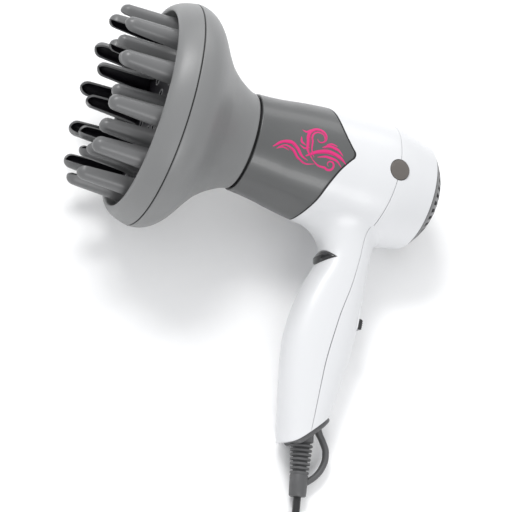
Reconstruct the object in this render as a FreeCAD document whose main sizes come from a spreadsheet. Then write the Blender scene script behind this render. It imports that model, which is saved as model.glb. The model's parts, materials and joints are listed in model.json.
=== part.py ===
import FreeCAD, Part
import Sketcher
import math
import os
import re

from FreeCAD import Placement, Rotation, Vector

# Hair dryer with a finger diffuser, in millimetres.
#
# Design axes: X runs along the barrel with 0 at the nozzle's front edge and + toward the air inlet,
# the handle points toward -Z, and the left side faces -Y.  Every piece is modelled in these axes and
# then gets one common Placement, REST, which lays the dryer on its right side on a table (z = 0)
# with its left side up: it touches with the diffuser's rim, the barrel and the handle's end.

DOC = FreeCAD.newDocument("hair_dryer")
SHEET = DOC.addObject("Spreadsheet::Sheet", "Sizes")

SIZES = [
    # housing
    ("nose_radius", 30.6, "barrel radius at the nozzle's front edge"),
    ("waist_along", 46.0, "place of the barrel radius in the middle of the nozzle sleeve"),
    ("waist_radius", 37.3, "barrel radius there"),
    ("crown_along", 92.0, "place of the barrel's largest radius"),
    ("crown_radius", 40.3, "barrel's largest radius"),
    ("tail_along", 120.5, "rear end of the housing"),
    ("tail_radius", 34.6, "barrel radius at the rear end"),
    ("wall", 2.2, "wall of the housing mouldings"),
    ("edge_base", 45.0, "rear edge of the nozzle sleeve, at top and bottom"),
    ("edge_tip", 62.0, "tip of that edge, on both sides"),
    ("handle_length", 176.3, "barrel axis to the handle's end"),
    ("handle_scale", 1.0, "thickness of the handle against its drawn sections"),
    ("end_angle", 45.0, "slope of the handle's cut end"),
    ("end_rise", 9.3, "slanted end's middle above the handle's lowest point"),
    ("cap_radius", 6.5, "round screw caps on both sides"),
    ("cap_proud", 0.4, "how far a cap stands out"),
    ("boss_radius", 3.3, "screw bosses inside the handle"),
    ("screw_radius", 1.5, "housing screws"),
    ("screw_head_radius", 2.8, "heads of the housing screws"),
    # moving controls
    ("button_depth", 57.3, "cool-shot button's middle below the barrel axis"),
    ("button_height", 8.6, "cool-shot button, top to bottom"),
    ("button_span", 27.0, "cool-shot button, tip to tip across the handle"),
    ("button_proud", 1.6, "how far the button stands out"),
    ("button_travel", 2.2, "cool-shot button's stroke"),
    ("knob_depth", 93.5, "slide knobs' middle below the barrel axis, at rest"),
    ("knob_offset", 5.4, "slide knobs' distance from the middle plane"),
    ("knob_width", 6.4, "slide knob across the handle"),
    ("knob_length", 7.0, "slide knob along the handle"),
    ("knob_proud", 2.2, "how far a knob stands out of its recess"),
    ("knob_travel", 8.0, "slide knobs' stroke"),
    ("play", 0.3, "clearance round moving controls"),
    # air path
    ("spigot_radius", 27.6, "outlet spigot that carries the diffuser"),
    ("spigot_reach", 12.0, "how far the spigot stands out of the nozzle"),
    ("shield_radius", 25.0, "heat shield tube, outside"),
    ("shield_wall", 0.6, "heat shield tube's wall"),
    ("heater_front", 6.0, "front end of the heater"),
    ("heater_back", 58.0, "rear end of the heater"),
    ("coil_radius", 20.0, "heater wire, middle of its turns"),
    ("wire_radius", 0.6, "heater wire"),
    ("motor_radius", 14.0, "motor can"),
    ("motor_front", 68.0, "front of the motor can"),
    ("motor_back", 98.0, "back of the motor can"),
    ("duct_radius", 34.0, "fan duct, outside"),
    ("duct_wall", 1.4, "fan duct's wall"),
    ("duct_front", 80.0, "front of the fan duct"),
    ("duct_back", 115.0, "back of the fan duct"),
    ("shaft_radius", 1.0, "motor shaft"),
    ("shaft_play", 0.05, "radial clearance of the shaft"),
    ("fan_hub_radius", 10.0, "impeller hub"),
    ("fan_front", 101.0, "front of the impeller"),
    ("fan_width", 11.0, "impeller, along the axis"),
    ("fan_gap", 0.8, "impeller tips to duct"),
    ("dome_rise", 14.5, "inlet grille's dome"),
    ("grille_wall", 2.0, "inlet grille's wall"),
    # diffuser
    ("rim_along", 53.0, "diffuser's seam between shell and rim, ahead of the nozzle edge"),
    ("rim_radius", 71.0, "diffuser's largest radius"),
    ("diffuser_wall", 2.0, "diffuser's wall"),
    ("plate_along", 58.0, "front face of the finger plate, ahead of the nozzle edge"),
    ("plate_wall", 2.0, "finger plate"),
    ("outer_ring", 52.5, "circle of the outer fingers' tips"),
    ("inner_ring", 35.5, "circle of the inner fingers' tips"),
    ("outer_reach", 97.0, "tips of the outer fingers, ahead of the nozzle edge"),
    ("inner_reach", 94.0, "tips of the inner fingers, ahead of the nozzle edge"),
    ("finger_base", 8.0, "half width of an outer finger at its foot"),
    ("finger_tip", 4.3, "half width of an outer finger at its tip"),
    ("finger_wall", 1.3, "finger's wall"),
    # cord
    ("cord_radius", 2.4, "mains cord"),
    ("relief_root", 7.2, "strain relief's radius at its root"),
    ("relief_end", 5.6, "strain relief's radius at its end"),
    ("relief_length", 38.5, "strain relief, from the slanted end to the cord's exit"),
    ("loop_band", 2.0, "hanging loop, radius of its band"),
    ("loop_reach", 21.5, "hanging loop, radius of its bow"),
    ("pin_radius", 2.4, "plug pins"),
    ("pin_length", 19.0, "plug pins, free length"),
    ("pin_spacing", 19.0, "plug pins, apart"),
]
for row, (alias, value, meaning) in enumerate(SIZES, start=1):
    SHEET.set("A%d" % row, alias)
    SHEET.set("B%d" % row, str(value))
    SHEET.set("C%d" % row, meaning)
    SHEET.setAlias("B%d" % row, alias)
DOC.recompute()


def size(alias):
    return float(SHEET.get(alias))


AXIS_START = Vector(0, 0, 0)
ALONG = Vector(1, 0, 0)
UP = Vector(0, 0, 1)
ACROSS = Vector(0, 1, 0)
NODES = [
    "nozzle_sleeve", "front_shell", "rear_shell", "side_cap_left", "side_cap_right", "housing_screws",
    "cool_shot_button", "button_spring", "speed_knob", "heat_knob",
    "switch_board", "speed_switch", "heat_switch", "cool_shot_switch", "cord_clamp",
    "mains_lead_inside", "heater_leads",
    "outlet_spigot", "outlet_grille", "heat_shield", "heater_boards", "heater_coil", "thermostat",
    "thermal_fuse", "motor_can", "fan_duct", "duct_seal", "motor_shaft", "fan_impeller",
    "inlet_grille", "dust_filter",
    "diffuser_shell", "diffuser_rim", "diffuser_grip_ring", "finger_plate", "outer_fingers", "inner_fingers",
    "strain_relief",
]
CORD_NODES = ["cord_lead", "cord_coil", "cord_tail", "cord_tie", "plug_body", "plug_pins"]
ALIASES = {alias for alias, _, _ in SIZES}


def bound(expression):
    """An expression on the sheet's aliases, as another object of the document reads it."""
    return re.sub(r"[a-z_]+", lambda word: "Sizes." * (word.group(0) in ALIASES) + word.group(0), expression)


def value(expression):
    return float(SHEET.evalExpression(expression))


# ---------------------------------------------------------------- helpers for bodies

def new_body(label):
    body = DOC.addObject("PartDesign::Body", label)
    body.Label = label
    return body


def sketch_on(body, role, offset="0"):
    """A sketch on one of the body's own planes, moved along the plane's normal by an expression."""
    plane = [item for item in body.Origin.OriginFeatures if item.Role == role][0]
    sketch = body.newObject("Sketcher::SketchObject", body.Name + "_sketch")
    sketch.AttachmentSupport = [(plane, "")]
    sketch.MapMode = "FlatFace"
    sketch.setExpression("AttachmentOffset.Base.z", bound(offset))
    return sketch


def pin_point(sketch, geometry, place, across, up):
    for kind, expression in (("DistanceX", across), ("DistanceY", up)):
        index = sketch.addConstraint(Sketcher.Constraint(kind, -1, 1, geometry, place, value(expression)))
        sketch.setExpression("Constraints[%d]" % index, bound(expression))


def draw_polygon(sketch, corners):
    """A closed polygon whose corners are pairs of expressions."""
    places = [Vector(value(across), value(up), 0) for across, up in corners]
    first = sketch.GeometryCount
    count = len(corners)
    for index in range(count):
        sketch.addGeometry(Part.LineSegment(places[index], places[(index + 1) % count]))
    for index in range(count):
        following = first + (index + 1) % count
        sketch.addConstraint(Sketcher.Constraint("Coincident", first + index, 2, following, 1))
    for index, (across, up) in enumerate(corners):
        pin_point(sketch, first + index, 1, across, up)


def draw_rectangle(sketch, low, high):
    draw_polygon(sketch, [low, (high[0], low[1]), high, (low[0], high[1])])


def draw_circle(sketch, across, up, radius):
    centre = Vector(value(across), value(up), 0)
    geometry = sketch.addGeometry(Part.Circle(centre, UP, value(radius)))
    pin_point(sketch, geometry, 3, across, up)
    index = sketch.addConstraint(Sketcher.Constraint("Radius", geometry, value(radius)))
    sketch.setExpression("Constraints[%d]" % index, bound(radius))


def add_pad(body, sketch, length):
    pad = body.newObject("PartDesign::Pad", body.Name + "_pad")
    pad.Profile = sketch
    pad.setExpression("Length", bound(length))
    return pad


def add_pocket(body, sketch):
    pocket = body.newObject("PartDesign::Pocket", body.Name + "_pocket")
    pocket.Profile = sketch
    pocket.Type = "ThroughAll"
    pocket.Midplane = True
    return pocket


def add_turn(body, corners):
    """A profile of (along, radius) corners turned about the barrel's axis."""
    sketch = sketch_on(body, "XZ_Plane")
    draw_polygon(sketch, corners)
    turn = body.newObject("PartDesign::Revolution", body.Name + "_turn")
    turn.Profile = sketch
    turn.ReferenceAxis = (sketch, ["H_Axis"])
    turn.Angle = 360
    return turn


def add_ring_pattern(body, feature, count):
    """Copies of a feature round the barrel's axis."""
    axis = [item for item in body.Origin.OriginFeatures if item.Role == "X_Axis"][0]
    pattern = body.newObject("PartDesign::PolarPattern", body.Name + "_pattern")
    pattern.Originals = [feature]
    pattern.Axis = (axis, [""])
    pattern.Angle = 360
    pattern.Occurrences = count
    body.Tip = pattern
    return pattern


def turned(label, corners):
    body = new_body(label)
    add_turn(body, corners)
    return body


def block(label, low, high):
    """A box from its low and high corners, three expressions each."""
    body = new_body(label)
    sketch = sketch_on(body, "XZ_Plane", "-(%s)" % high[1])
    draw_rectangle(sketch, (low[0], low[2]), (high[0], high[2]))
    add_pad(body, sketch, "(%s) - (%s)" % (high[1], low[1]))
    return body


def rod(label, start, end, across, up, radius):
    """A round rod parallel to the barrel."""
    body = new_body(label)
    sketch = sketch_on(body, "YZ_Plane", start)
    draw_circle(sketch, across, up, radius)
    add_pad(body, sketch, "(%s) - (%s)" % (end, start))
    return body


def spoked_disc(label, start, thickness, rings, spokes, spoke_width):
    """Flat rings round the barrel's axis, given as (inner, outer) radii, joined by spokes."""
    body = new_body(label)
    outermost = rings[-1][1]
    for inner, outer in rings:
        sketch = sketch_on(body, "YZ_Plane", start)
        draw_circle(sketch, "0", "0", outer)
        if inner != "0":
            draw_circle(sketch, "0", "0", inner)
        last = add_pad(body, sketch, thickness)
        if (inner, outer) == rings[0]:
            sketch = sketch_on(body, "YZ_Plane", start)
            half = "(%s) / 2" % spoke_width
            draw_rectangle(sketch, ("-" + half, "0"), (half, "(%s) - 0.4" % outermost))
            last = add_pad(body, sketch, thickness)
            add_ring_pattern(body, last, spokes)
    return body


def primitive(kind, name, **expressions):
    """A Part primitive whose sizes are expressions."""
    item = DOC.addObject(kind, name)
    for key, expression in expressions.items():
        item.setExpression(key.replace("_", "."), bound(expression))
    return item


def group(label, items):
    """Several separate solids kept as one sub-part."""
    made = DOC.addObject("Part::Compound", label)
    made.Label = label
    made.Links = items
    return made


def formed(label, shape):
    """A sub-part whose shape is worked out with Part's own functions."""
    made = DOC.addObject("Part::Feature", label)
    made.Label = label
    made.Shape = shape
    return made


# ---------------------------------------------------------------- places and small sizes

SETTLE_ROUNDS = 3
SETTLE_STEP = 1e-5
SETTLE_FINENESS = 0.15

# Places inside the handle and the barrel.
RELIEF_LEAN = math.radians(6.5)
LENS_FRONT = 50.0
LENS_BACK = 80.0
HANDLE_NEAR = 52.0       # before the handle's front, at any depth
HANDLE_FAR = 102.0       # behind its back
HANDLE_BACK = 98.5       # the handle's back where the knobs are
SCREW_PLACES = ((123.0, 0.0), (147.0, 6.4))      # depth, across
BOSS_WALL = 1.8          # rear posts, round the screw heads
SCREW_BITE = 12.0        # screw's length in the front boss
SCREW_SEAT = 9.0         # from the seam to the screw head's seat
CAP_FOOT = 38.0
RECESS_FLOOR = 96.5
RECESS_PAD = 2.6
KNOB_STEM = 2.6
SWITCH_TOP = 91.8
SWITCH_FACE = 78.2
BOARD_FRONT = 84.4
BOARD_LOW = 116.0
BOARD_HIGH = 47.0
BUTTON_BACK = 75.0
BUTTON_STEM = 2.2
BUTTON_FACE = 66.5
BUTTON_INNER = 70.0
SPRING_TURNS = 5
SPRING_RADIUS = 3.3
SPRING_WIRE = 0.35
ARC_SHARE = 0.45
RELIEF_INSIDE = 8.0      # how far the strain relief reaches into the handle
MAINS_ROUTE = [(74.6, -3.4, -150.5), (69.0, -7.4, -142.0), (67.8, -8.0, -130.0), (69.0, -8.0, -121.0),
               (74.0, -8.0, -114.0), (84.4, -8.0, -109.0)]
HEATER_ROUTE = [(84.4, 9.0, -49.0), (76.0, 8.0, -38.0), (68.0, 7.0, -26.0), (60.0, 6.0, -16.0), (56.0, 6.0, -8.0)]
LEAD_RADIUS = 0.9
BOARD_WAIST = "coil_radius - wire_radius - 0.1"
BOARD_EAR = "shield_radius - shield_wall - 0.1"
COIL_TURNS = 9
FAN_BLADES = 9
BLADE_WALL = 1.2
BLADE_PITCH = 38.0
GRILLE_STEP = 1.0        # from the housing's end to the dome's foot
GRILLE_SHY = 0.9         # dome's foot inside the housing's outline
LIP_DEPTH = 4.0
SLOT_ROWS = [(5.0, 13.5, 12), (15.5, 23.0, 24), (25.0, 30.5, 36)]
SLOT_WIDTH = 2.2
NECK_BACK = -1.8
GRIP_WALL = 0.9
# Diffuser's flare from the neck to the rim's seam: share of the way, share of the rise.
FLARE = [(0.11, 0.055), (0.26, 0.165), (0.41, 0.33), (0.55, 0.57), (0.7, 0.825), (0.85, 0.955), (1.0, 1.0)]
VENT_ROWS = [(12.0, 3.0, 6), (26.0, 3.2, 10), (45.0, 2.6, 12), (61.0, 2.6, 24)]
FINGER_CHEEK = 1.6       # how far a finger's sides reach past its middle
OUTER_PHASE = -7.4
INNER_PHASE = 30.0
RIB_START = 6.0
RIB_COUNT = 7
RIB_PITCH = 2.7
RIB_DEPTH = 0.9
FLANGE_WALL = 3.0
FLANGE_SHY = 0.8
FLANGE_FRONT = 7.5
LOOP_TOP = (86.5, 6.5)
LOOP_LIFT = 7.0

# Cord: route points on the table, after the exit and after the coil; the coil between them.
LEAD_ROUTE = [(58.5, -149.5, 2.45), (59.9, -166.0, 2.4), (59.6, -186.3, 2.4), (58.5, -206.0, 2.4)]
TAIL_ROUTE = [(22.5, -242.0, 7.25), (8.5, -242.6, 6.6), (-7.0, -241.0, 3.6), (-21.0, -238.2, 2.4),
              (-34.0, -237.8, 2.45), (-46.0, -239.4, 4.55)]
COIL_MIDDLE = (22.5, -206.0)
COIL_OUTER = 36.0
COIL_COLUMNS = 4
COIL_LAYERS = 2
COIL_SLACK = 0.05
COIL_CHAMFER = 1.0
TIE_WIDTH = 6.0
TIE_WALL = 0.6
TIE_TURN = 62.0
# Plug: along from the cord's end, half width, half thickness.
PLUG_SECTIONS = [(0.0, 4.6, 4.6), (12.0, 5.2, 5.2), (20.0, 9.5, 7.4), (29.0, 15.0, 10.2), (36.0, 17.2, 12.2),
                 (44.0, 17.2, 12.2)]
PLUG_POWER = 2.6
PLUG_TURN = 187.0


# ---------------------------------------------------------------- outer form of the housing

# Sections across the handle: depth below the barrel axis, front, rear, half width.
HANDLE_SECTIONS = [
    (33.0, 47.0, 110.0, 20.0),
    (38.0, 52.5, 106.5, 17.8),
    (42.0, 62.2, 101.5, 16.9),
    (48.0, 66.2, 98.8, 16.3),
    (58.0, 65.8, 98.2, 16.1),
    (75.0, 59.9, 98.5, 16.0),
    (95.0, 54.9, 98.5, 15.8),
    (113.0, 53.2, 97.3, 15.3),
    (132.0, 55.0, 94.8, 14.6),
    (152.0, 58.2, 91.5, 13.9),
    (172.0, 61.8, 88.0, 13.1),
    (186.0, 64.4, 85.6, 12.6),
]
SECTION_POINTS = 20
SECTION_POWER = 2.3      # 2 is an ellipse, more is squarer
NECK_DEPTH = 33.0
HANDLE_FULL = 176.3       # the handle length that the sections are drawn for
END_MIDDLE = 77.0        # where the relief's axis meets the handle's slanted end
HUGE = 400.0
# The seam between front and rear shell below the barrel: depth, along.
SEAM_POINTS = [(42.0, 88.0), (70.0, 85.2), (97.0, 80.0), (130.0, 77.2), (200.0, 77.0)]
EDGE_STEPS = 6           # points on each half of the sleeve's pointed edge
EDGE_SHARE = 0.55        # how much of the point is a cusp
EDGE_DECAY = 0.22        # how fast the cusp fades


END_DEPTH = size("handle_length") - size("end_rise")
END_SLOPE = math.radians(size("end_angle"))


def turned_form(edges):
    """A solid of revolution about the barrel's axis from a closed chain of edges."""
    return Part.Face(Part.Wire(edges)).revolve(AXIS_START, ALONG, 360)


def flat(along, radius):
    """A point of a profile in the middle plane."""
    return Vector(along, 0, radius)


def barrel_form(inset, lengthen=0.0):
    """The barrel as two arcs, from the nozzle over the crown to the tail, drawn in by inset."""
    nose = flat(0, size("nose_radius") - inset)
    waist = flat(size("waist_along"), size("waist_radius") - inset)
    crown = flat(size("crown_along"), size("crown_radius") - inset)
    tail = flat(size("tail_along"), size("tail_radius") - inset)
    span = tail.x - crown.x
    drop = crown.z - tail.z
    bow = (span * span + drop * drop) / (2 * drop)
    middle = flat(crown.x + span / 2, crown.z - bow + math.sqrt(bow * bow - span * span / 4))
    ends = [flat(-lengthen, nose.z), flat(tail.x + lengthen, tail.z)]
    feet = [flat(-lengthen, 0), flat(tail.x + lengthen, 0)]
    edges = [Part.Arc(nose, waist, crown).toShape(), Part.Arc(crown, middle, tail).toShape()]
    if lengthen:
        edges.append(Part.LineSegment(ends[0], nose).toShape())
        edges.append(Part.LineSegment(tail, ends[1]).toShape())
    edges.append(Part.LineSegment(feet[0], ends[0]).toShape())
    edges.append(Part.LineSegment(ends[1], feet[1]).toShape())
    edges.append(Part.LineSegment(feet[1], feet[0]).toShape())
    return turned_form(Part.__sortEdges__(edges))


def handle_section(depth, front, rear, half, inset):
    """A rounded closed curve across the handle, drawn in by inset."""
    middle = (front + rear) / 2
    reach = ((rear - front) / 2) * size("handle_scale") - inset
    width = half * size("handle_scale") - inset
    points = []
    for index in range(SECTION_POINTS):
        turn = 2 * math.pi * index / SECTION_POINTS
        cosine, sine = math.cos(turn), math.sin(turn)
        along = math.copysign(abs(cosine) ** (2 / SECTION_POWER), cosine)
        across = math.copysign(abs(sine) ** (2 / SECTION_POWER), sine)
        points.append(Vector(middle + reach * along, width * across, -depth))
    curve = Part.BSplineCurve()
    curve.interpolate(points, PeriodicFlag=True)
    return Part.Wire(curve.toShape())


def handle_form(inset):
    stretch = size("handle_length") / HANDLE_FULL
    wires = []
    for depth, front, rear, half in HANDLE_SECTIONS:
        if depth > NECK_DEPTH:
            depth = NECK_DEPTH + (depth - NECK_DEPTH) * stretch
        wires.append(handle_section(depth, front, rear, half, inset))
    return Part.makeLoft(wires, True, False)


def end_slab(near, far):
    """The space between two planes parallel to the handle's slanted end, counted outward."""
    slab = Part.makeBox(HUGE, HUGE, far - near, Vector(-HUGE / 2, -HUGE / 2, near))
    outward = Rotation(UP, Vector(math.sin(END_SLOPE), 0, -math.cos(END_SLOPE)))
    slab.Placement = Placement(Vector(END_MIDDLE, 0, -END_DEPTH), outward)
    return slab


def sleeve_region():
    """Ahead of the pointed edge: the edge runs from the base at top and bottom to the tip at mid height."""
    base = size("edge_base")
    tip = size("edge_tip")
    radius = size("waist_radius")
    edge = []
    for step in range(-EDGE_STEPS, EDGE_STEPS + 1):
        height = radius * step / EDGE_STEPS
        fall = abs(height) / radius
        along = base + (tip - base) * (EDGE_SHARE * math.exp(-fall / EDGE_DECAY) + (1 - EDGE_SHARE) * (1 - fall))
        edge.append(Vector(along, 0, height))
    curve_low = Part.BSplineCurve()
    curve_low.interpolate(edge[:EDGE_STEPS + 1])
    curve_high = Part.BSplineCurve()
    curve_high.interpolate(edge[EDGE_STEPS:])
    corners = [edge[-1], Vector(edge[-1].x, 0, HUGE / 4), Vector(-HUGE / 4, 0, HUGE / 4),
               Vector(-HUGE / 4, 0, -HUGE / 4), Vector(edge[0].x, 0, -HUGE / 4), edge[0]]
    edges = [curve_low.toShape(), curve_high.toShape()]
    edges += [Part.LineSegment(a, b).toShape() for a, b in zip(corners, corners[1:])]
    face = Part.Face(Part.Wire(Part.__sortEdges__(edges)))
    face.translate(Vector(0, -HUGE / 4, 0))
    return face.extrude(Vector(0, HUGE / 2, 0))


def front_region():
    """Ahead of the seam, which leaves the crown straight and bows forward down the handle."""
    seam = [Vector(size("crown_along"), 0, 0)]
    seam += [Vector(along, 0, -depth) for depth, along in SEAM_POINTS]
    curve = Part.BSplineCurve()
    curve.interpolate(seam, InitialTangent=Vector(0, 0, -1), FinalTangent=Vector(0, 0, -1))
    last = seam[-1]
    corners = [last, Vector(last.x, 0, -HUGE), Vector(-HUGE / 4, 0, -HUGE), Vector(-HUGE / 4, 0, HUGE / 4),
               Vector(seam[0].x, 0, HUGE / 4), seam[0]]
    edges = [curve.toShape()] + [Part.LineSegment(a, b).toShape() for a, b in zip(corners, corners[1:])]
    face = Part.Face(Part.Wire(Part.__sortEdges__(edges)))
    face.translate(Vector(0, -HUGE / 4, 0))
    return face.extrude(Vector(0, HUGE / 2, 0))


# ---------------------------------------------------------------- housing

def relief_axis():
    """Start and direction of the strain relief: from the slanted end's middle, leaning rearward."""
    start = Vector(END_MIDDLE, 0, -END_DEPTH)
    direction = Vector(math.sin(RELIEF_LEAN), 0, -math.cos(RELIEF_LEAN))
    return start, direction


def lens_prism(grow):
    """The button's eye-shaped outline in plan, carried along the barrel."""
    half = size("button_span") / 2 + grow
    rise = size("button_height") / 2 + grow
    left = Vector(LENS_FRONT, -half, -size("button_depth"))
    right = Vector(LENS_FRONT, half, -size("button_depth"))
    top = Vector(LENS_FRONT, 0, -size("button_depth") + rise)
    bottom = Vector(LENS_FRONT, 0, -size("button_depth") - rise)
    wire = Part.Wire([Part.Arc(left, top, right).toShape(), Part.Arc(right, bottom, left).toShape()])
    return Part.Face(wire).extrude(Vector(LENS_BACK - LENS_FRONT, 0, 0))


def along_cylinder(radius, start, end, across, depth):
    return Part.makeCylinder(radius, end - start, Vector(start, across, -depth), ALONG)


def seam_along(depth):
    """Where the seam is at a depth, between its drawn points."""
    points = [(0.0, size("crown_along"))] + SEAM_POINTS
    for (shallow, first), (deep, second) in zip(points, points[1:]):
        if depth <= deep:
            return first + (second - first) * (depth - shallow) / (deep - shallow)


def screw_bosses(core, side):
    """Posts from one shell's wall to the seam, with the screw's hole in each."""
    posts = []
    head = size("screw_head_radius")
    for depth, across in SCREW_PLACES:
        seam = seam_along(depth)
        if side == "front":
            post = along_cylinder(size("boss_radius"), HANDLE_NEAR, seam, across, depth)
            hole = along_cylinder(size("screw_radius"), seam - SCREW_BITE, seam + 1, across, depth)
        else:
            post = along_cylinder(head + BOSS_WALL, seam, HANDLE_FAR, across, depth)
            hole = along_cylinder(size("screw_radius") + size("play"), seam - 1, HANDLE_FAR, across, depth)
            seat = seam + SCREW_SEAT
            hole = hole.fuse(along_cylinder(head + size("play"), seat, HANDLE_FAR, across, depth))
        posts.append((post.common(core), hole))
    return posts


def build_housing():
    floor_cut = Part.makeBox(HUGE, HUGE, HUGE, Vector(-HUGE / 2, -HUGE / 2, -HUGE - size("handle_length")))
    outer_handle = handle_form(0).cut(end_slab(0, HUGE)).cut(floor_cut)
    inner_handle = handle_form(size("wall")).cut(end_slab(-size("wall"), HUGE))
    floor_cut.translate(Vector(0, 0, size("wall")))
    inner_handle = inner_handle.cut(floor_cut)
    outer_barrel = barrel_form(0)
    inner_barrel = barrel_form(size("wall"), 5)
    sleeve = sleeve_region()
    nozzle = outer_barrel.cut(inner_barrel).common(sleeve)
    white = outer_barrel.fuse(outer_handle).cut(inner_barrel).cut(inner_handle).cut(sleeve)

    middle = size("knob_depth") - size("knob_travel") / 2
    half = (size("knob_travel") + size("knob_length")) / 2 + 2 * size("play")
    reach = size("knob_offset") + size("knob_width") / 2 + 2 * size("play")
    pad = Part.makeBox(RECESS_PAD, 2 * reach + 4, 2 * half + 4,
                       Vector(RECESS_FLOOR - RECESS_PAD, -reach - 2, -middle - half - 2))
    recess = Part.makeBox(HUGE, 2 * reach, 2 * half, Vector(RECESS_FLOOR, -reach, -middle - half))
    white = white.fuse(pad.common(handle_form(size("wall") / 2)))
    cuts = [recess, lens_prism(size("play"))]
    stem = KNOB_STEM + 2 * size("play")
    run = KNOB_STEM + size("knob_travel") + 2 * size("play")
    for side in (-1, 1):
        corner = Vector(RECESS_FLOOR - 20, side * size("knob_offset") - stem / 2, -middle - run / 2)
        cuts.append(Part.makeBox(40, stem, run, corner))
        reach = size("crown_radius") + 5
        cuts.append(Part.makeCylinder(size("cap_radius"), reach - CAP_FOOT,
                                      Vector(size("crown_along"), side * CAP_FOOT, 0), ACROSS * side))
    start, direction = relief_axis()
    cuts.append(Part.makeCylinder(size("relief_root"), 20, start - direction * 12, direction))
    white = white.cut(cuts)

    region = front_region()
    front = white.common(region)
    rear = white.cut(region)
    core = handle_form(size("wall") / 2)
    for post, hole in screw_bosses(core, "front"):
        front = front.fuse(post).cut(hole)
    for post, hole in screw_bosses(core, "rear"):
        rear = rear.fuse(post).cut(hole)
    formed("nozzle_sleeve", nozzle)
    formed("front_shell", front.removeSplitter())
    formed("rear_shell", rear)


def build_caps():
    """Round caps in both sides of the barrel."""
    reach = "crown_radius + cap_proud"
    for name, offset in (("side_cap_left", "%s" % CAP_FOOT), ("side_cap_right", "-(%s)" % reach)):
        body = new_body(name)
        sketch = sketch_on(body, "XZ_Plane", offset)
        draw_circle(sketch, "crown_along", "0", "cap_radius")
        add_pad(body, sketch, "%s - %s" % (reach, CAP_FOOT))


def build_screws():
    screws = []
    for index, (depth, across) in enumerate(SCREW_PLACES):
        seam = seam_along(depth)
        shaft = primitive("Part::Cylinder", "screw_shaft_%d" % index, Radius="screw_radius",
                          Height="%s" % (SCREW_BITE - 1 + SCREW_SEAT))
        head = primitive("Part::Cylinder", "screw_head_%d" % index, Radius="screw_head_radius", Height="2.2")
        turn = Rotation(UP, ALONG)
        shaft.Placement = Placement(Vector(seam - SCREW_BITE + 1, across, -depth), turn)
        head.Placement = Placement(Vector(seam + SCREW_SEAT, across, -depth), turn)
        screws.append(primitive_fuse("screw_%d" % index, [shaft, head]))
    group("housing_screws", screws)


def primitive_fuse(name, items):
    made = DOC.addObject("Part::MultiFuse", name)
    made.Shapes = items
    return made


# ---------------------------------------------------------------- moving controls

def build_button():
    """The cool-shot button: a curved plate in the handle's front with a stem to its switch."""
    plate = handle_form(-size("button_proud")).cut(handle_form(size("wall") + 1.0))
    plate = plate.common(lens_prism(0))
    plate = plate.common(Part.makeBox(HUGE, HUGE, HUGE, Vector(-HUGE + BUTTON_BACK, -HUGE / 2, -HUGE / 2)))
    stem = along_cylinder(BUTTON_STEM, BUTTON_FACE, SWITCH_FACE - size("button_travel") - size("play"),
                          0, size("button_depth"))
    formed("cool_shot_button", plate.fuse(stem))


def build_spring():
    """Return spring round the button's stem, one turn of wire per ring of the coil."""
    start = BUTTON_INNER + SPRING_WIRE + 0.1
    length = SWITCH_FACE - SPRING_WIRE - 0.1 - start
    helix = Part.makeHelix(length / SPRING_TURNS, length, SPRING_RADIUS)
    circle = Part.Wire(Part.Circle(Vector(SPRING_RADIUS, 0, 0), ACROSS, SPRING_WIRE).toShape())
    coil = Part.Wire(helix).makePipeShell([circle], True, True)
    coil.Placement = Placement(Vector(start, 0, -size("button_depth")), Rotation(UP, ALONG))
    formed("button_spring", coil)


def build_knobs():
    """Two slide knobs in the recess at the back of the handle: heads with stems through the slots."""
    for name, side in (("speed_knob", "-"), ("heat_knob", "")):
        head = primitive("Part::Box", name + "_head", Width="knob_width", Height="knob_length",
                         Length="%s + knob_proud" % (HANDLE_BACK - RECESS_FLOOR - size("play")),
                         Placement_Base_x="%s + play" % RECESS_FLOOR,
                         Placement_Base_y="%sknob_offset - knob_width / 2" % side,
                         Placement_Base_z="-knob_depth - knob_length / 2")
        stem = primitive("Part::Box", name + "_stem", Width="%s" % KNOB_STEM, Height="%s" % KNOB_STEM,
                         Length="%s" % (RECESS_FLOOR - SWITCH_TOP),
                         Placement_Base_x="%s + play" % SWITCH_TOP,
                         Placement_Base_y="%sknob_offset - %s" % (side, KNOB_STEM / 2),
                         Placement_Base_z="-knob_depth - %s" % (KNOB_STEM / 2))
        knob = primitive_fuse(name, [head, stem])
        knob.Label = name


def build_electrics():
    low = "-%s" % BOARD_LOW
    block("switch_board", ("%s" % BOARD_FRONT, "-11", low), ("%s + 1.6" % BOARD_FRONT, "11", "-%s" % BOARD_HIGH))
    board_back = "%s + 1.6" % BOARD_FRONT
    for name, side in (("speed_switch", "-"), ("heat_switch", "")):
        block(name, (board_back, "%sknob_offset - 4" % side, "-knob_depth - 8"),
              ("%s" % SWITCH_TOP, "%sknob_offset + 4" % side, "-knob_depth + knob_travel + 8"))
    block("cool_shot_switch", ("%s" % SWITCH_FACE, "-6.5", "-button_depth - 4"),
          ("%s" % BOARD_FRONT, "6.5", "-button_depth + 4"))
    block("cord_clamp", ("70.4", "-11.9", "-142"), ("74", "-3.5", "-136"))


def smooth_path(points):
    """Straight runs through the points with tangent arcs at the inner ones, as edges and arc radii."""
    edges = []
    radii = []
    last = points[0]
    for before, corner, after in zip(points, points[1:], points[2:]):
        arriving = (corner - before)
        leaving = (after - corner)
        shorter = min(arriving.Length, leaving.Length)
        half_turn = arriving.getAngle(leaving) / 2
        set_back = ARC_SHARE * shorter
        radius = set_back / math.tan(half_turn)
        arriving.normalize()
        leaving.normalize()
        start = corner - arriving * set_back
        end = corner + leaving * set_back
        inward = (leaving - arriving)
        inward.normalize()
        middle = corner + inward * (radius / math.cos(half_turn) - radius)
        edges.append(Part.LineSegment(last, start).toShape())
        edges.append(Part.Arc(start, middle, end).toShape())
        radii.append(radius)
        last = end
    edges.append(Part.LineSegment(last, points[-1]).toShape())
    return edges, radii


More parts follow.
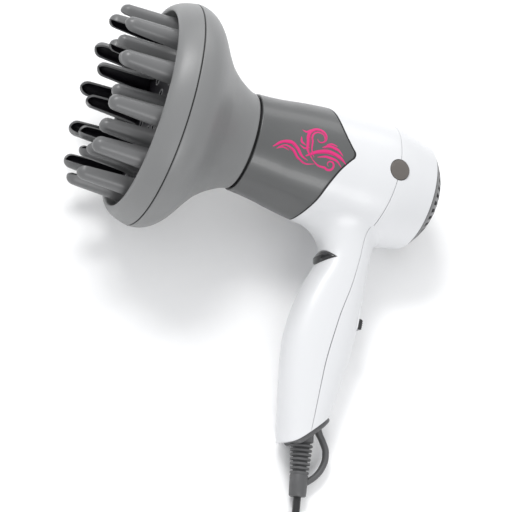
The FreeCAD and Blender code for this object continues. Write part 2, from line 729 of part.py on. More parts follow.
def tube(points, radius):
    """A round solid along a smooth path, with its arc radii and its length."""
    edges, radii = smooth_path(points)
    path = Part.Wire(edges)
    start = points[1] - points[0]
    circle = Part.Wire(Part.Circle(points[0], start, radius).toShape())
    solid = path.makePipeShell([circle], True, True)
    return solid, radii, path.Length


def build_leads():
    """Inner leads: the mains lead from the strain relief over the clamp to the board, and the heater's pair."""
    start, direction = relief_axis()
    route = [start - direction * RELIEF_INSIDE] + [Vector(*place) for place in MAINS_ROUTE]
    mains = tube(route, size("cord_radius") - 0.2)[0]
    formed("mains_lead_inside", mains)
    pair = []
    for side in (-1, 1):
        route = [Vector(along, side * across, height) for along, across, height in HEATER_ROUTE]
        pair.append(tube(route, LEAD_RADIUS)[0])
    formed("heater_leads", Part.makeCompound(pair))


# ---------------------------------------------------------------- air path

def build_air_path():
    turned("outlet_spigot", [
        ("-spigot_reach", "spigot_radius - 1.6"), ("-spigot_reach", "spigot_radius"),
        ("0.3", "spigot_radius"), ("0.3", "nose_radius - wall - 0.1"),
        ("3.6", "nose_radius - wall - 0.1"), ("3.6", "spigot_radius - 1.6")])
    spoked_disc("outlet_grille", "-spigot_reach + 2", "2", [
        ("0", "5"), ("11.5", "13"), ("18.5", "20"), ("spigot_radius - 3", "spigot_radius - 1.6")], 8, "1.4")
    turned("heat_shield", [
        ("heater_front - 2", "shield_radius - shield_wall"), ("heater_front - 2", "shield_radius"),
        ("heater_back + 3", "shield_radius"), ("heater_back + 3", "shield_radius - shield_wall")])

    boards = new_body("heater_boards")
    for start, length, reach in (("heater_front", "heater_back - heater_front", BOARD_WAIST),
                                 ("heater_front", "2.5", BOARD_EAR), ("heater_back - 2.5", "2.5", BOARD_EAR)):
        sketch = sketch_on(boards, "YZ_Plane", start)
        half = "0.5"
        draw_polygon(sketch, [
            ("-" + half, "-(%s)" % reach), (half, "-(%s)" % reach), (half, "-" + half), (reach, "-" + half),
            (reach, half), (half, half), (half, reach), ("-" + half, reach),
            ("-" + half, half), ("-(%s)" % reach, half), ("-(%s)" % reach, "-" + half), ("-" + half, "-" + half)])
        add_pad(boards, sketch, length)

    rings = []
    for index in range(COIL_TURNS):
        ring = primitive("Part::Torus", "coil_turn_%d" % index, Radius1="coil_radius", Radius2="wire_radius",
                         Placement_Base_x="heater_front + 5 + %d * (heater_back - heater_front - 10) / %d"
                         % (index, COIL_TURNS - 1))
        ring.Placement = Placement(ring.Placement.Base, Rotation(UP, ALONG))
        rings.append(ring)
    group("heater_coil", rings)
    block("thermostat", ("heater_back - 14", "2.5", "2.5"), ("heater_back - 5", "12", "8"))
    rod("thermal_fuse", "heater_front + 18", "heater_front + 30", "-5", "5", "1.9")

    turned("motor_can", [
        ("motor_front", "0"), ("motor_front", "motor_radius"), ("motor_back", "motor_radius"),
        ("motor_back", "shaft_radius + shaft_play"), ("motor_back - 14", "shaft_radius + shaft_play"),
        ("motor_back - 14", "0")])

    duct = new_body("fan_duct")
    add_turn(duct, [("duct_front", "duct_radius - duct_wall"), ("duct_front", "duct_radius"),
                    ("duct_back", "duct_radius"), ("duct_back", "duct_radius - duct_wall")])
    add_turn(duct, [("duct_front", "motor_radius"), ("duct_front", "motor_radius + 1.6"),
                    ("motor_back - 3", "motor_radius + 1.6"), ("motor_back - 3", "motor_radius")])
    sketch = sketch_on(duct, "YZ_Plane", "duct_front + 1")
    draw_rectangle(sketch, ("-0.8", "motor_radius + 0.8"), ("0.8", "duct_radius - duct_wall / 2"))
    vane = add_pad(duct, sketch, "motor_back - 5 - duct_front")
    add_ring_pattern(duct, vane, 7)
    turned("duct_seal", [("crown_along - 2", "duct_radius"), ("crown_along - 2", "crown_radius - wall - 0.3"),
                         ("crown_along + 2", "crown_radius - wall - 0.3"), ("crown_along + 2", "duct_radius")])


def build_rotor():
    turned("motor_shaft", [("motor_back - 13.5", "0"), ("motor_back - 13.5", "shaft_radius"),
                           ("fan_front + fan_width + 1", "shaft_radius"), ("fan_front + fan_width + 1", "0")])
    front = size("fan_front")
    back = front + size("fan_width")
    hub = size("fan_hub_radius")
    reach = size("duct_radius") - size("duct_wall") - size("fan_gap")
    body = Part.makeCylinder(hub, size("fan_width"), Vector(front, 0, 0), ALONG)
    tips = Part.makeCylinder(reach, size("fan_width"), Vector(front, 0, 0), ALONG)
    fan = body
    for index in range(FAN_BLADES):
        blade = Part.makeBox(HUGE, BLADE_WALL, reach, Vector(-HUGE / 2, -BLADE_WALL / 2, hub / 2))
        blade.rotate(AXIS_START, UP, BLADE_PITCH)
        blade.translate(Vector((front + back) / 2, 0, 0))
        blade = blade.common(tips)
        blade.rotate(AXIS_START, ALONG, 360 * index / FAN_BLADES)
        fan = fan.fuse(blade)
    bore = Part.makeCylinder(size("shaft_radius"), HUGE, Vector(0, 0, 0), ALONG)
    formed("fan_impeller", fan.cut(bore).removeSplitter())


def build_inlet():
    """The dome over the air inlet: a ball's cap as a shell on a lip, with rings of slots round its middle."""
    start = size("tail_along") + GRILLE_STEP
    outer = size("tail_radius") - GRILLE_SHY
    wall = size("grille_wall")
    rise = size("dome_rise")
    ball = (outer * outer + rise * rise) / (2 * rise)
    centre = Vector(start + rise - ball, 0, 0)
    dome = Part.makeSphere(ball, centre, ALONG).cut(Part.makeSphere(ball - wall, centre, ALONG))
    dome = dome.common(Part.makeCylinder(outer, HUGE, Vector(start, 0, 0), ALONG))
    lip_outer = size("tail_radius") - size("wall") - size("play")
    lip = Part.makeCylinder(lip_outer, LIP_DEPTH + GRILLE_STEP, Vector(start - GRILLE_STEP - LIP_DEPTH, 0, 0), ALONG)
    lip = lip.cut(Part.makeCylinder(lip_outer - 1.6, HUGE, Vector(0, 0, 0), ALONG))
    skirt = Part.makeCylinder(outer, GRILLE_STEP - 0.4, Vector(start - GRILLE_STEP + 0.4, 0, 0), ALONG)
    skirt = skirt.cut(Part.makeCylinder(lip_outer - 1.6, HUGE, Vector(0, 0, 0), ALONG))
    dome = dome.fuse([lip, skirt])
    slots = []
    for inner, outer_reach, count in SLOT_ROWS:
        for index in range(count):
            slot = Part.makeBox(HUGE, SLOT_WIDTH, outer_reach - inner, Vector(start, -SLOT_WIDTH / 2, inner))
            slot.rotate(AXIS_START, ALONG, 360 * index / count)
            slots.append(slot)
    formed("inlet_grille", dome.cut(slots))
    spoked_disc("dust_filter", "tail_along - 2.6", "1", [
        ("0", "4"), ("10", "11.2"), ("17", "18.2"), ("24", "25.2"),
        ("tail_radius - wall - 3.7", "tail_radius - wall - 2")], 16, "0.9")


# ---------------------------------------------------------------- diffuser

def offset_profile(points, distance):
    """The points of a profile moved square to it, toward the axis."""
    moved = []
    for index, place in enumerate(points):
        before = points[max(index - 1, 0)]
        after = points[min(index + 1, len(points) - 1)]
        run = after - before
        run.normalize()
        moved.append(place + Vector(-run.z, 0, run.x) * distance)
    return moved


def spline_edge(points):
    curve = Part.BSplineCurve()
    curve.interpolate(points)
    return curve.toShape()


def chain(points):
    return [Part.LineSegment(a, b).toShape() for a, b in zip(points, points[1:])]


def build_diffuser():
    wall = size("diffuser_wall")
    rim_radius = size("rim_radius")
    neck = size("nose_radius") - 0.2
    seam = -size("rim_along")
    outer = [flat(NECK_BACK, neck)]
    for share, height in FLARE:
        outer.append(flat(NECK_BACK + (seam - NECK_BACK) * share, neck + (rim_radius - neck) * height))
    inner = offset_profile(outer, wall)
    inner = [place for place in inner if place.x < -size("spigot_reach") - 2]
    inner[-1] = flat(seam, inner[-1].z)
    collar = size("spigot_radius") + size("play") + GRIP_WALL
    start = [flat(NECK_BACK, collar), flat(-size("spigot_reach") - 1, collar), inner[0]]
    edges = [spline_edge(outer), spline_edge(inner), Part.LineSegment(outer[0], start[0]).toShape(),
             Part.LineSegment(outer[-1], inner[-1]).toShape()] + chain(start)
    formed("diffuser_shell", turned_form(Part.__sortEdges__(edges)))

    lip = [flat(seam, rim_radius), flat(seam - 6.5, rim_radius - 1.5), flat(seam - 11.5, rim_radius - 4.6)]
    bead = [lip[-1], flat(seam - 13.2, rim_radius - 6.9), flat(seam - 11.8, rim_radius - 9)]
    plate = -size("plate_along")
    rest = [bead[-1], flat(plate, rim_radius - 9.4), flat(plate, rim_radius - 4.2), flat(seam - 1, rim_radius - 4.2),
            flat(seam - 1, rim_radius - wall), flat(seam, rim_radius - wall), lip[0]]
    edges = [Part.Arc(*lip).toShape(), Part.Arc(*bead).toShape()] + chain(rest)
    formed("diffuser_rim", turned_form(Part.__sortEdges__(edges)))

    turned("diffuser_grip_ring", [
        ("-spigot_reach + 1", "spigot_radius + shaft_play"), ("-spigot_reach + 1", "spigot_radius + play + 0.85"),
        ("-3", "spigot_radius + play + 0.85"), ("-3", "spigot_radius + shaft_play")])

    body = new_body("finger_plate")
    sketch = sketch_on(body, "YZ_Plane", "-plate_along")
    draw_circle(sketch, "0", "0", "rim_radius - 4.3")
    add_pad(body, sketch, "plate_wall")
    for radius, hole, count in VENT_ROWS:
        sketch = sketch_on(body, "YZ_Plane", "-plate_along")
        turn = math.pi / count
        draw_circle(sketch, "%s" % (radius * math.sin(turn)), "%s" % (radius * math.cos(turn)), "%s" % hole)
        add_ring_pattern(body, add_pocket(body, sketch), count)

    for name, ring, reach, count, phase, share in (
            ("outer_fingers", "outer_ring", "outer_reach", 12, OUTER_PHASE, 1.0),
            ("inner_fingers", "inner_ring", "inner_reach", 10, INNER_PHASE, 0.9)):
        finger = finger_form(size(reach) - size("plate_along"), share)
        fingers = []
        for index in range(count):
            copy = finger.copy()
            copy.translate(Vector(-size("plate_along"), 0, size(ring)))
            copy.rotate(AXIS_START, ALONG, phase + 360 * index / count)
            fingers.append(copy)
        formed(name, Part.makeCompound(fingers))


def finger_form(length, share):
    """Half of a hollow tapered finger, standing along -X, its back toward +Z, open toward -Z."""
    foot = size("finger_base") * share
    tip = size("finger_tip") * share
    wall = size("finger_wall")

    def spindle(inset):
        low = flat(0, foot - inset)
        middle = flat(-length * 0.4, tip + (foot - tip) * 0.3 - inset)
        neck = flat(-length + tip, tip - inset)
        crest = flat(-length + tip - (tip - inset) * math.sqrt(0.5), (tip - inset) * math.sqrt(0.5))
        end = flat(-length + inset, 0)
        edges = [Part.Arc(low, middle, neck).toShape(), Part.Arc(neck, crest, end).toShape()]
        edges += chain([end, flat(0, 0), low])
        return turned_form(Part.__sortEdges__(edges))

    shell = spindle(0).cut(spindle(wall))
    keep = Part.makeBox(HUGE, HUGE, HUGE, Vector(-HUGE / 2, -HUGE / 2, -FINGER_CHEEK))
    return shell.common(keep)


# ---------------------------------------------------------------- strain relief

def build_relief():
    """A tapered rubber sleeve with ribs, a flange over the handle's slanted end and a hanging loop."""
    root = size("relief_root")
    end = size("relief_end")
    length = size("relief_length")
    profile = [(-RELIEF_INSIDE, 0.0), (-RELIEF_INSIDE, root), (RIB_START, root)]
    for index in range(RIB_COUNT):
        along = RIB_START + index * RIB_PITCH
        radius = root + (end + 0.5 - root) * (index + 1) / RIB_COUNT
        profile += [(along + 0.2, radius - RIB_DEPTH), (along + 1.1, radius - RIB_DEPTH),
                    (along + 1.3, radius), (along + RIB_PITCH, radius)]
    profile += [(RIB_START + RIB_COUNT * RIB_PITCH + 0.1, end), (length - 1.0, end), (length, end - 1.0),
                (length, 0.0), (-RELIEF_INSIDE, 0.0)]
    points = [Vector(along, 0, radius) for along, radius in profile]
    stem = Part.Face(Part.makePolygon(points)).revolve(AXIS_START, ALONG, 360)
    start, direction = relief_axis()
    stem.Placement = Placement(start, Rotation(ALONG, direction))

    flange = handle_form(FLANGE_SHY).common(end_slab(0, FLANGE_WALL))
    flange = flange.common(Part.makeBox(HUGE, HUGE, HUGE, Vector(END_MIDDLE - FLANGE_FRONT, -HUGE / 2, -HUGE)))

    top = Vector(LOOP_TOP[0], 0, -END_DEPTH + LOOP_TOP[1])
    foot = start + direction * (length - LOOP_LIFT)
    chord = foot - top
    half = chord.Length / 2
    bow = size("loop_reach")
    out = Vector(-chord.z, 0, chord.x)
    out.normalize()
    middle = (top + foot) / 2 + out * (bow - math.sqrt(bow * bow - half * half))
    arc = Part.Arc(top, middle, foot).toShape()
    circle = Part.Wire(Part.Circle(top, arc.tangentAt(arc.FirstParameter), size("loop_band")).toShape())
    loop = Part.Wire([arc]).makePipeShell([circle], True, True)
    formed("strain_relief", stem.fuse([flange, loop]).removeSplitter())


# ---------------------------------------------------------------- rest pose and output

def surface_points(names):
    """Points on the surface of finished pieces, in design axes."""
    points = []
    for name in names:
        points += DOC.getObject(name).Shape.tessellate(SETTLE_FINENESS)[0]
    return points


def rest_rotation(tilt, roll):
    """Left side up, then the handle's end dips by roll, then the barrel's rear end dips by tilt."""
    return (Rotation(ACROSS, math.degrees(tilt)).multiply(Rotation(ALONG, math.degrees(roll)))
            .multiply(Rotation(ALONG, -90)))


def lowest(points, turn):
    down = turn.inverted().multVec(Vector(0, 0, -1))
    return max(place.dot(down) for place in points)


def settle():
    """Tilt and roll at which rim, barrel and handle's end all touch one table."""
    nose = surface_points(["diffuser_shell", "diffuser_rim"])
    housing = surface_points(["front_shell", "rear_shell"])
    barrel = [place for place in housing if place.z > -25]
    heel = [place for place in housing if place.z < -110] + surface_points(["strain_relief"])
    tilt, roll = 0.2, 0.2
    for _ in range(SETTLE_ROUNDS):
        low, high = 0.0, 0.6
        while high - low > SETTLE_STEP:
            tilt = (low + high) / 2
            turn = rest_rotation(tilt, roll)
            if lowest(nose, turn) > lowest(barrel, turn):
                low = tilt
            else:
                high = tilt
        low, high = 0.0, 0.6
        while high - low > SETTLE_STEP:
            roll = (low + high) / 2
            turn = rest_rotation(tilt, roll)
            if lowest(heel, turn) < lowest(nose, turn):
                low = roll
            else:
                high = roll
    return tilt, roll


# ---------------------------------------------------------------- cord

def build_cord(rest):
    """The lead from the strain relief over the table, the put-away coil with its tie, and the plug."""
    start, direction = relief_axis()
    leave = rest.multVec(start + direction * size("relief_length"))
    radius = size("cord_radius")
    lead, lead_radii, lead_length = tube([leave] + [Vector(*place) for place in LEAD_ROUTE], radius)
    tail, tail_radii, tail_length = tube([Vector(*place) for place in TAIL_ROUTE], radius)
    for name, solid, radii, length in (("cord_lead", lead, lead_radii, lead_length),
                                       ("cord_tail", tail, tail_radii, tail_length)):
        formed(name, solid)
        section = math.pi * radius * radius
        print("%s: length %.1f, arc radii %s, volume against section times length %.4f"
              % (name, length, ["%.0f" % value for value in radii], solid.Volume / (section * length)))
    step = 2 * radius + COIL_SLACK
    outer = COIL_OUTER + radius
    inner = COIL_OUTER - (COIL_COLUMNS - 1) * step - radius
    height = 2 * radius + (COIL_LAYERS - 1) * step
    foot = Vector(COIL_MIDDLE[0], COIL_MIDDLE[1], 0)
    ring = Part.makeCylinder(outer, height, foot).cut(Part.makeCylinder(inner, height, foot))
    ring = ring.makeChamfer(COIL_CHAMFER, ring.Edges)
    band = Part.makeBox(outer - inner + 2 * TIE_WALL, TIE_WIDTH, height + TIE_WALL,
                        Vector(inner - TIE_WALL, -TIE_WIDTH / 2, 0))
    hole = Part.makeBox(outer - inner, TIE_WIDTH, height - TIE_WALL, Vector(inner, -TIE_WIDTH / 2, TIE_WALL))
    band = band.cut(hole)
    band.rotate(AXIS_START, UP, TIE_TURN)
    band.translate(foot)
    formed("cord_tie", band)
    formed("cord_coil", ring.cut([band, lead, tail]))
    turns = 2 * math.pi * sum(COIL_OUTER - column * step for column in range(COIL_COLUMNS)) * COIL_LAYERS
    turns += 2 * math.pi * COIL_OUTER / 4
    print("cord: lead %.0f + coil %.0f + tail %.0f = %.0f mm"
          % (lead_length, turns, tail_length, lead_length + turns + tail_length))

    sections = []
    for along, width, thickness in PLUG_SECTIONS:
        points = []
        for index in range(SECTION_POINTS):
            turn_angle = 2 * math.pi * index / SECTION_POINTS
            cosine, sine = math.cos(turn_angle), math.sin(turn_angle)
            across = math.copysign(abs(cosine) ** (2 / PLUG_POWER), cosine) * width
            high = math.copysign(abs(sine) ** (2 / PLUG_POWER), sine) * thickness
            points.append(Vector(along, across, high))
        curve = Part.BSplineCurve()
        curve.interpolate(points, PeriodicFlag=True)
        sections.append(Part.Wire(curve.toShape()))
    rear = PLUG_SECTIONS[0]
    face = PLUG_SECTIONS[-1]
    shoulder = PLUG_SECTIONS[-2]
    lift = math.degrees(math.atan2(shoulder[2] - rear[2], shoulder[0]))
    seat = Placement(Vector(*TAIL_ROUTE[-1]), Rotation(UP, PLUG_TURN).multiply(Rotation(ACROSS, -lift)))
    body = formed("plug_body", Part.makeLoft(sections, True, False))
    body.Placement = seat
    pins = []
    for side in (-1, 1):
        pin = primitive("Part::Cylinder", "plug_pin_%d" % (side + 1), Radius="pin_radius", Height="pin_length",
                        Placement_Base_x="%s" % face[0], Placement_Base_y="%d * pin_spacing / 2" % side)
        pin.Placement = Placement(pin.Placement.Base, Rotation(UP, ALONG))
        pins.append(pin)
    DOC.recompute()
    group("plug_pins", pins).Placement = seat


# ---------------------------------------------------------------- document

build_housing()
build_caps()
build_screws()
build_button()
build_spring()
build_knobs()
build_electrics()
build_leads()
build_air_path()
build_rotor()
build_inlet()
build_diffuser()
build_relief()
DOC.recompute()

DRYER = [item for item in DOC.Objects if item.Name in NODES]
tilt, roll = settle()
turn = rest_rotation(tilt, roll)
turned_points = [turn.multVec(place) for place in surface_points(NODES)]
spans = [(min(place[axis] for place in turned_points), max(place[axis] for place in turned_points))
         for axis in range(3)]
REST = Placement(Vector(-sum(spans[0]) / 2, -sum(spans[1]) / 2, -spans[2][0]), turn)
for item in DRYER:
    item.Placement = REST
print("rest tilt %.3f, roll %.3f, shift %s" % (math.degrees(tilt), math.degrees(roll), REST.Base))
build_cord(REST)
DOC.recompute()

faulty = [item.Name for item in DOC.Objects if "Invalid" in item.State or "Error" in item.State]
for name in NODES + CORD_NODES:
    shape = DOC.getObject(name).Shape
    if shape.isNull() or not shape.isValid():
        faulty.append(name)
if faulty:
    raise RuntimeError("these objects failed: %s" % faulty)
os.makedirs("parts", exist_ok=True)
for name in NODES + CORD_NODES:
    item = DOC.getObject(name)
    item.Shape.exportStep("parts/%s.step" % item.Label)
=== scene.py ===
import json
import math

import bmesh
import bpy
import numpy as np
from mathutils import Matrix, Vector


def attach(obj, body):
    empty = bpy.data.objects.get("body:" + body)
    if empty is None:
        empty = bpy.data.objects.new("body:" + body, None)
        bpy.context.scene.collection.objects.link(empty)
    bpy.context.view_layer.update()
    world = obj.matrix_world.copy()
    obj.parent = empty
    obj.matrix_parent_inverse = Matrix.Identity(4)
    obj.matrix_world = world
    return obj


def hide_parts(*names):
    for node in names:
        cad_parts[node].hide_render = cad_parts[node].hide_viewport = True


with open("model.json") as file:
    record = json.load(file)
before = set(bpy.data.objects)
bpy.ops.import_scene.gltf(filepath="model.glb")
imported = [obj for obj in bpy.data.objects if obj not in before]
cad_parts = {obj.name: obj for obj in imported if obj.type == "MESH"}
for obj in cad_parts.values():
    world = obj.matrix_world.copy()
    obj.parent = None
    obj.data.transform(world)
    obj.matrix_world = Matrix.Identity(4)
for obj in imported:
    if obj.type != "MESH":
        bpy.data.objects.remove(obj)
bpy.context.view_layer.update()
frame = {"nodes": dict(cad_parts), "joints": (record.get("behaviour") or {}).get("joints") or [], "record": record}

# Hair dryer with a finger diffuser.  Shapes are worked out in the dryer's own axes, in millimetres:
# x along the barrel from the nozzle's edge to the air inlet, -y toward the left side, which faces up,
# and -z down the handle.  `place` carries them into the row frame, in metres.

JOINTS = {joint["name"]: joint for joint in frame["joints"]}


def unit(vector):
    return np.array(vector, float) / np.linalg.norm(vector)


START = np.array(JOINTS["fan_spin"]["pos_m"], float)
ALONG = unit(JOINTS["fan_spin"]["axis"])
HIGH = unit(JOINTS["speed_slide"]["axis"])
HIGH = unit(HIGH - ALONG * (HIGH @ ALONG))
ACROSS = np.cross(HIGH, ALONG)
AXES = np.stack([ALONG, ACROSS, HIGH])
MM = 0.001


def place(points):
    """Points of the dryer's own axes, in millimetres, as row-frame points in metres."""
    return START + np.asarray(points, float) @ AXES * MM


def xyz(x, y, z):
    return np.stack(np.broadcast_arrays(np.asarray(x, float), y, z), axis=-1)


# ---------------------------------------------------------------- meshes from grids

def through(known, values, at):
    """A smooth curve through points that never overshoots them: cubic pieces with limited slopes."""
    known = np.asarray(known, float)
    values = np.asarray(values, float)
    steps = np.diff(known)
    slopes = np.diff(values) / steps
    tangents = np.zeros(len(known))
    same_way = slopes[:-1] * slopes[1:] > 0
    inner = 2 * slopes[:-1] * slopes[1:] / np.where(same_way, slopes[:-1] + slopes[1:], 1)
    tangents[1:-1] = np.where(same_way, inner, 0)
    tangents[0] = slopes[0]
    tangents[-1] = slopes[-1]
    at = np.clip(np.asarray(at, float), known[0], known[-1])
    index = np.clip(np.searchsorted(known, at) - 1, 0, len(steps) - 1)
    step = steps[index]
    t = (at - known[index]) / step
    return ((2 * t ** 3 - 3 * t ** 2 + 1) * values[index] + (t ** 3 - 2 * t ** 2 + t) * step * tangents[index]
            + (3 * t ** 2 - 2 * t ** 3) * values[index + 1] + (t ** 3 - t ** 2) * step * tangents[index + 1])


def mesh_object(name, points, faces):
    mesh = bpy.data.meshes.new(name)
    mesh.from_pydata([tuple(point) for point in points.tolist()], [], faces.tolist())
    made = bpy.data.objects.new(name, mesh)
    bpy.context.scene.collection.objects.link(made)
    return made


def grid_faces(rows, columns, round_rows, round_columns):
    """Corner numbers of the four-sided faces of a grid, closed on itself where asked."""
    row = np.arange(rows if round_rows else rows - 1)
    column = np.arange(columns if round_columns else columns - 1)
    row, column = np.meshgrid(row, column, indexing="ij")
    next_row = (row + 1) % rows
    next_column = (column + 1) % columns
    faces = np.stack([row * columns + column, row * columns + next_column,
                      next_row * columns + next_column, next_row * columns + column], axis=-1)
    return faces.reshape(-1, 4)


def surface(name, grid, round_rows=False, round_columns=False, keep=None, sharp=38):
    """A mesh over a grid of points in the dryer's axes: doubles merged, faces turned outward, smooth."""
    rows, columns = grid.shape[:2]
    faces = grid_faces(rows, columns, round_rows, round_columns)
    if keep is not None:
        faces = faces[keep.reshape(-1)]
    made = mesh_object(name, place(grid).reshape(-1, 3), faces)
    finish_mesh(made, sharp)
    return made


def finish_mesh(made, sharp=38):
    shape = bmesh.new()
    shape.from_mesh(made.data)
    bmesh.ops.remove_doubles(shape, verts=shape.verts, dist=2e-6)
    loose = [vertex for vertex in shape.verts if not vertex.link_faces]
    bmesh.ops.delete(shape, geom=loose, context="VERTS")
    bmesh.ops.recalc_face_normals(shape, faces=shape.faces)
    shape.to_mesh(made.data)
    shape.free()
    smooth(made, sharp)


def smooth(made, sharp=38):
    made.data.shade_smooth()
    made.data.set_sharp_from_angle(angle=math.radians(sharp))


def turn_outward(made, heart):
    """Turn an open sheet's faces away from its heart, a function from face centres to inner points."""
    mesh = made.data
    centres = np.zeros(len(mesh.polygons) * 3)
    normals = np.zeros(len(mesh.polygons) * 3)
    mesh.polygons.foreach_get("center", centres)
    mesh.polygons.foreach_get("normal", normals)
    own = (centres.reshape(-1, 3) - START) @ AXES.T / MM
    outward = (own - heart(own)) @ AXES
    if np.sum(outward * normals.reshape(-1, 3)) < 0:
        mesh.flip_normals()


def barrel_heart(own):
    return own * np.array([1.0, 0.0, 0.0])


def handle_heart(own):
    return own * np.array([0.0, 0.0, 1.0]) + np.array([HANDLE_HEART, 0.0, 0.0])


def applied(made, sharp=38):
    """Put the modifiers' result into the mesh itself."""
    scene_state = bpy.context.evaluated_depsgraph_get()
    result = bpy.data.meshes.new_from_object(made.evaluated_get(scene_state))
    made.modifiers.clear()
    made.data = result
    smooth(made, sharp)
    return made


def thicken(made, wall):
    """A closed wall of even thickness on the inner side of a sheet."""
    change = made.modifiers.new("wall", "SOLIDIFY")
    change.thickness = wall * MM
    change.offset = -1
    change.use_even_offset = False
    return applied(made)


def cut_with(made, cutters):
    for cutter in cutters:
        change = made.modifiers.new("cut", "BOOLEAN")
        change.operation = "DIFFERENCE"
        change.solver = "EXACT"
        change.object = cutter
        applied(made)
        bpy.data.objects.remove(cutter)
    return made


def ease_edges(made, width, angle=42, segments=2):
    change = made.modifiers.new("ease", "BEVEL")
    change.width = width * MM
    change.segments = segments
    change.limit_method = "ANGLE"
    change.angle_limit = math.radians(angle)
    change.harden_normals = False
    return applied(made)


def turned(name, profile, sides=160, sharp=38):
    """A closed profile of (along, radius) points carried round the barrel's axis."""
    profile = np.asarray(profile, float)
    angle = np.linspace(0, 2 * math.pi, sides, endpoint=False)
    grid = xyz(profile[:, :1], -profile[:, 1:] * np.cos(angle), profile[:, 1:] * np.sin(angle))
    return surface(name, grid, round_rows=True, round_columns=True, sharp=sharp)


def rounded_end(profile, radius, count=6):
    """A quarter round added to a profile's last point, turning from its run toward the axis."""
    last = profile[-1]
    run = unit(profile[-1] - profile[-2])
    inward = np.array([run[1], -run[0]])
    inward *= -np.sign(inward[1])
    turn = np.linspace(0, math.pi / 2, count)[1:, None]
    return np.vstack([profile, last + radius * (np.sin(turn) * run + (1 - np.cos(turn)) * inward)])


def both_rounded(profile, radius):
    profile = rounded_end(np.asarray(profile, float), radius)
    return rounded_end(profile[::-1], radius)[::-1]


def sweep_grid(path, section, round_path=False, reference=(0.0, 1.0, 0.0)):
    """Rows of a section along a path, the section's first axis as near as may be to the reference."""
    path = np.asarray(path, float)
    if round_path:
        run = np.roll(path, -1, axis=0) - np.roll(path, 1, axis=0)
    else:
        run = np.gradient(path, axis=0)
    run /= np.linalg.norm(run, axis=1, keepdims=True)
    side = np.asarray(reference, float) - run * (run @ np.asarray(reference, float))[:, None]
    side /= np.linalg.norm(side, axis=1, keepdims=True)
    lift = np.cross(run, side)
    section = np.broadcast_to(np.asarray(section, float), (len(path),) + np.shape(section)[-2:])
    return path[:, None, :] + section[:, :, :1] * side[:, None, :] + section[:, :, 1:] * lift[:, None, :]


def ring_section(wide, high, count=24, power=2.0):
    """A closed section between an ellipse and a rounded box."""
    turn = np.linspace(0, 2 * math.pi, count, endpoint=False)
    cosine, sine = np.cos(turn), np.sin(turn)
    return np.stack([wide * np.sign(cosine) * np.abs(cosine) ** (2 / power),
                     high * np.sign(sine) * np.abs(sine) ** (2 / power)], axis=1)


# ---------------------------------------------------------------- materials

def node(tree, kind, **inputs):
    made = tree.nodes.new(kind)
    for key, value in inputs.items():
        made.inputs[key.replace("_", " ")].default_value = value
    return made


def finish_of(name, colour, rough, grain=900.0, grain_depth=0.02, mottle=0.04, mottle_scale=35.0,
              metal=0.0, coat=0.0, rough_spread=0.08, specular=0.5, sheen=0.0):
    """Moulded or worked surface: slow colour mottling, uneven gloss and a fine grain in relief."""
    made = bpy.data.materials.new(name)
    made.use_nodes = True
    tree = made.node_tree
    shader = tree.nodes["Principled BSDF"]
    shader.inputs["Metallic"].default_value = metal
    shader.inputs["Coat Weight"].default_value = coat
    shader.inputs["Coat Roughness"].default_value = 0.08
    shader.inputs["Specular IOR Level"].default_value = specular
    shader.inputs["Sheen Weight"].default_value = sheen
    place_node = tree.nodes.new("ShaderNodeTexCoord")
    clouds = node(tree, "ShaderNodeTexNoise", Scale=mottle_scale, Detail=4.0, Roughness=0.6)
    fine = node(tree, "ShaderNodeTexNoise", Scale=grain, Detail=3.0, Roughness=0.55)
    tree.links.new(place_node.outputs["Object"], clouds.inputs["Vector"])
    tree.links.new(place_node.outputs["Object"], fine.inputs["Vector"])
    spread = tree.nodes.new("ShaderNodeMapRange")
    spread.inputs["To Min"].default_value = 1 - mottle
    spread.inputs["To Max"].default_value = 1 + mottle
    tree.links.new(clouds.outputs["Fac"], spread.inputs["Value"])
    tint = tree.nodes.new("ShaderNodeVectorMath")
    tint.operation = "SCALE"
    tint.inputs[0].default_value = colour
    tree.links.new(spread.outputs["Result"], tint.inputs["Scale"])
    tree.links.new(tint.outputs["Vector"], shader.inputs["Base Color"])
    gloss = tree.nodes.new("ShaderNodeMapRange")
    gloss.inputs["To Min"].default_value = max(rough - rough_spread, 0.02)
    gloss.inputs["To Max"].default_value = rough + rough_spread
    tree.links.new(fine.outputs["Fac"], gloss.inputs["Value"])
    tree.links.new(gloss.outputs["Result"], shader.inputs["Roughness"])
    relief = node(tree, "ShaderNodeBump", Strength=0.35, Distance=grain_depth * MM)
    tree.links.new(fine.outputs["Fac"], relief.inputs["Height"])
    tree.links.new(relief.outputs["Normal"], shader.inputs["Normal"])
    return made


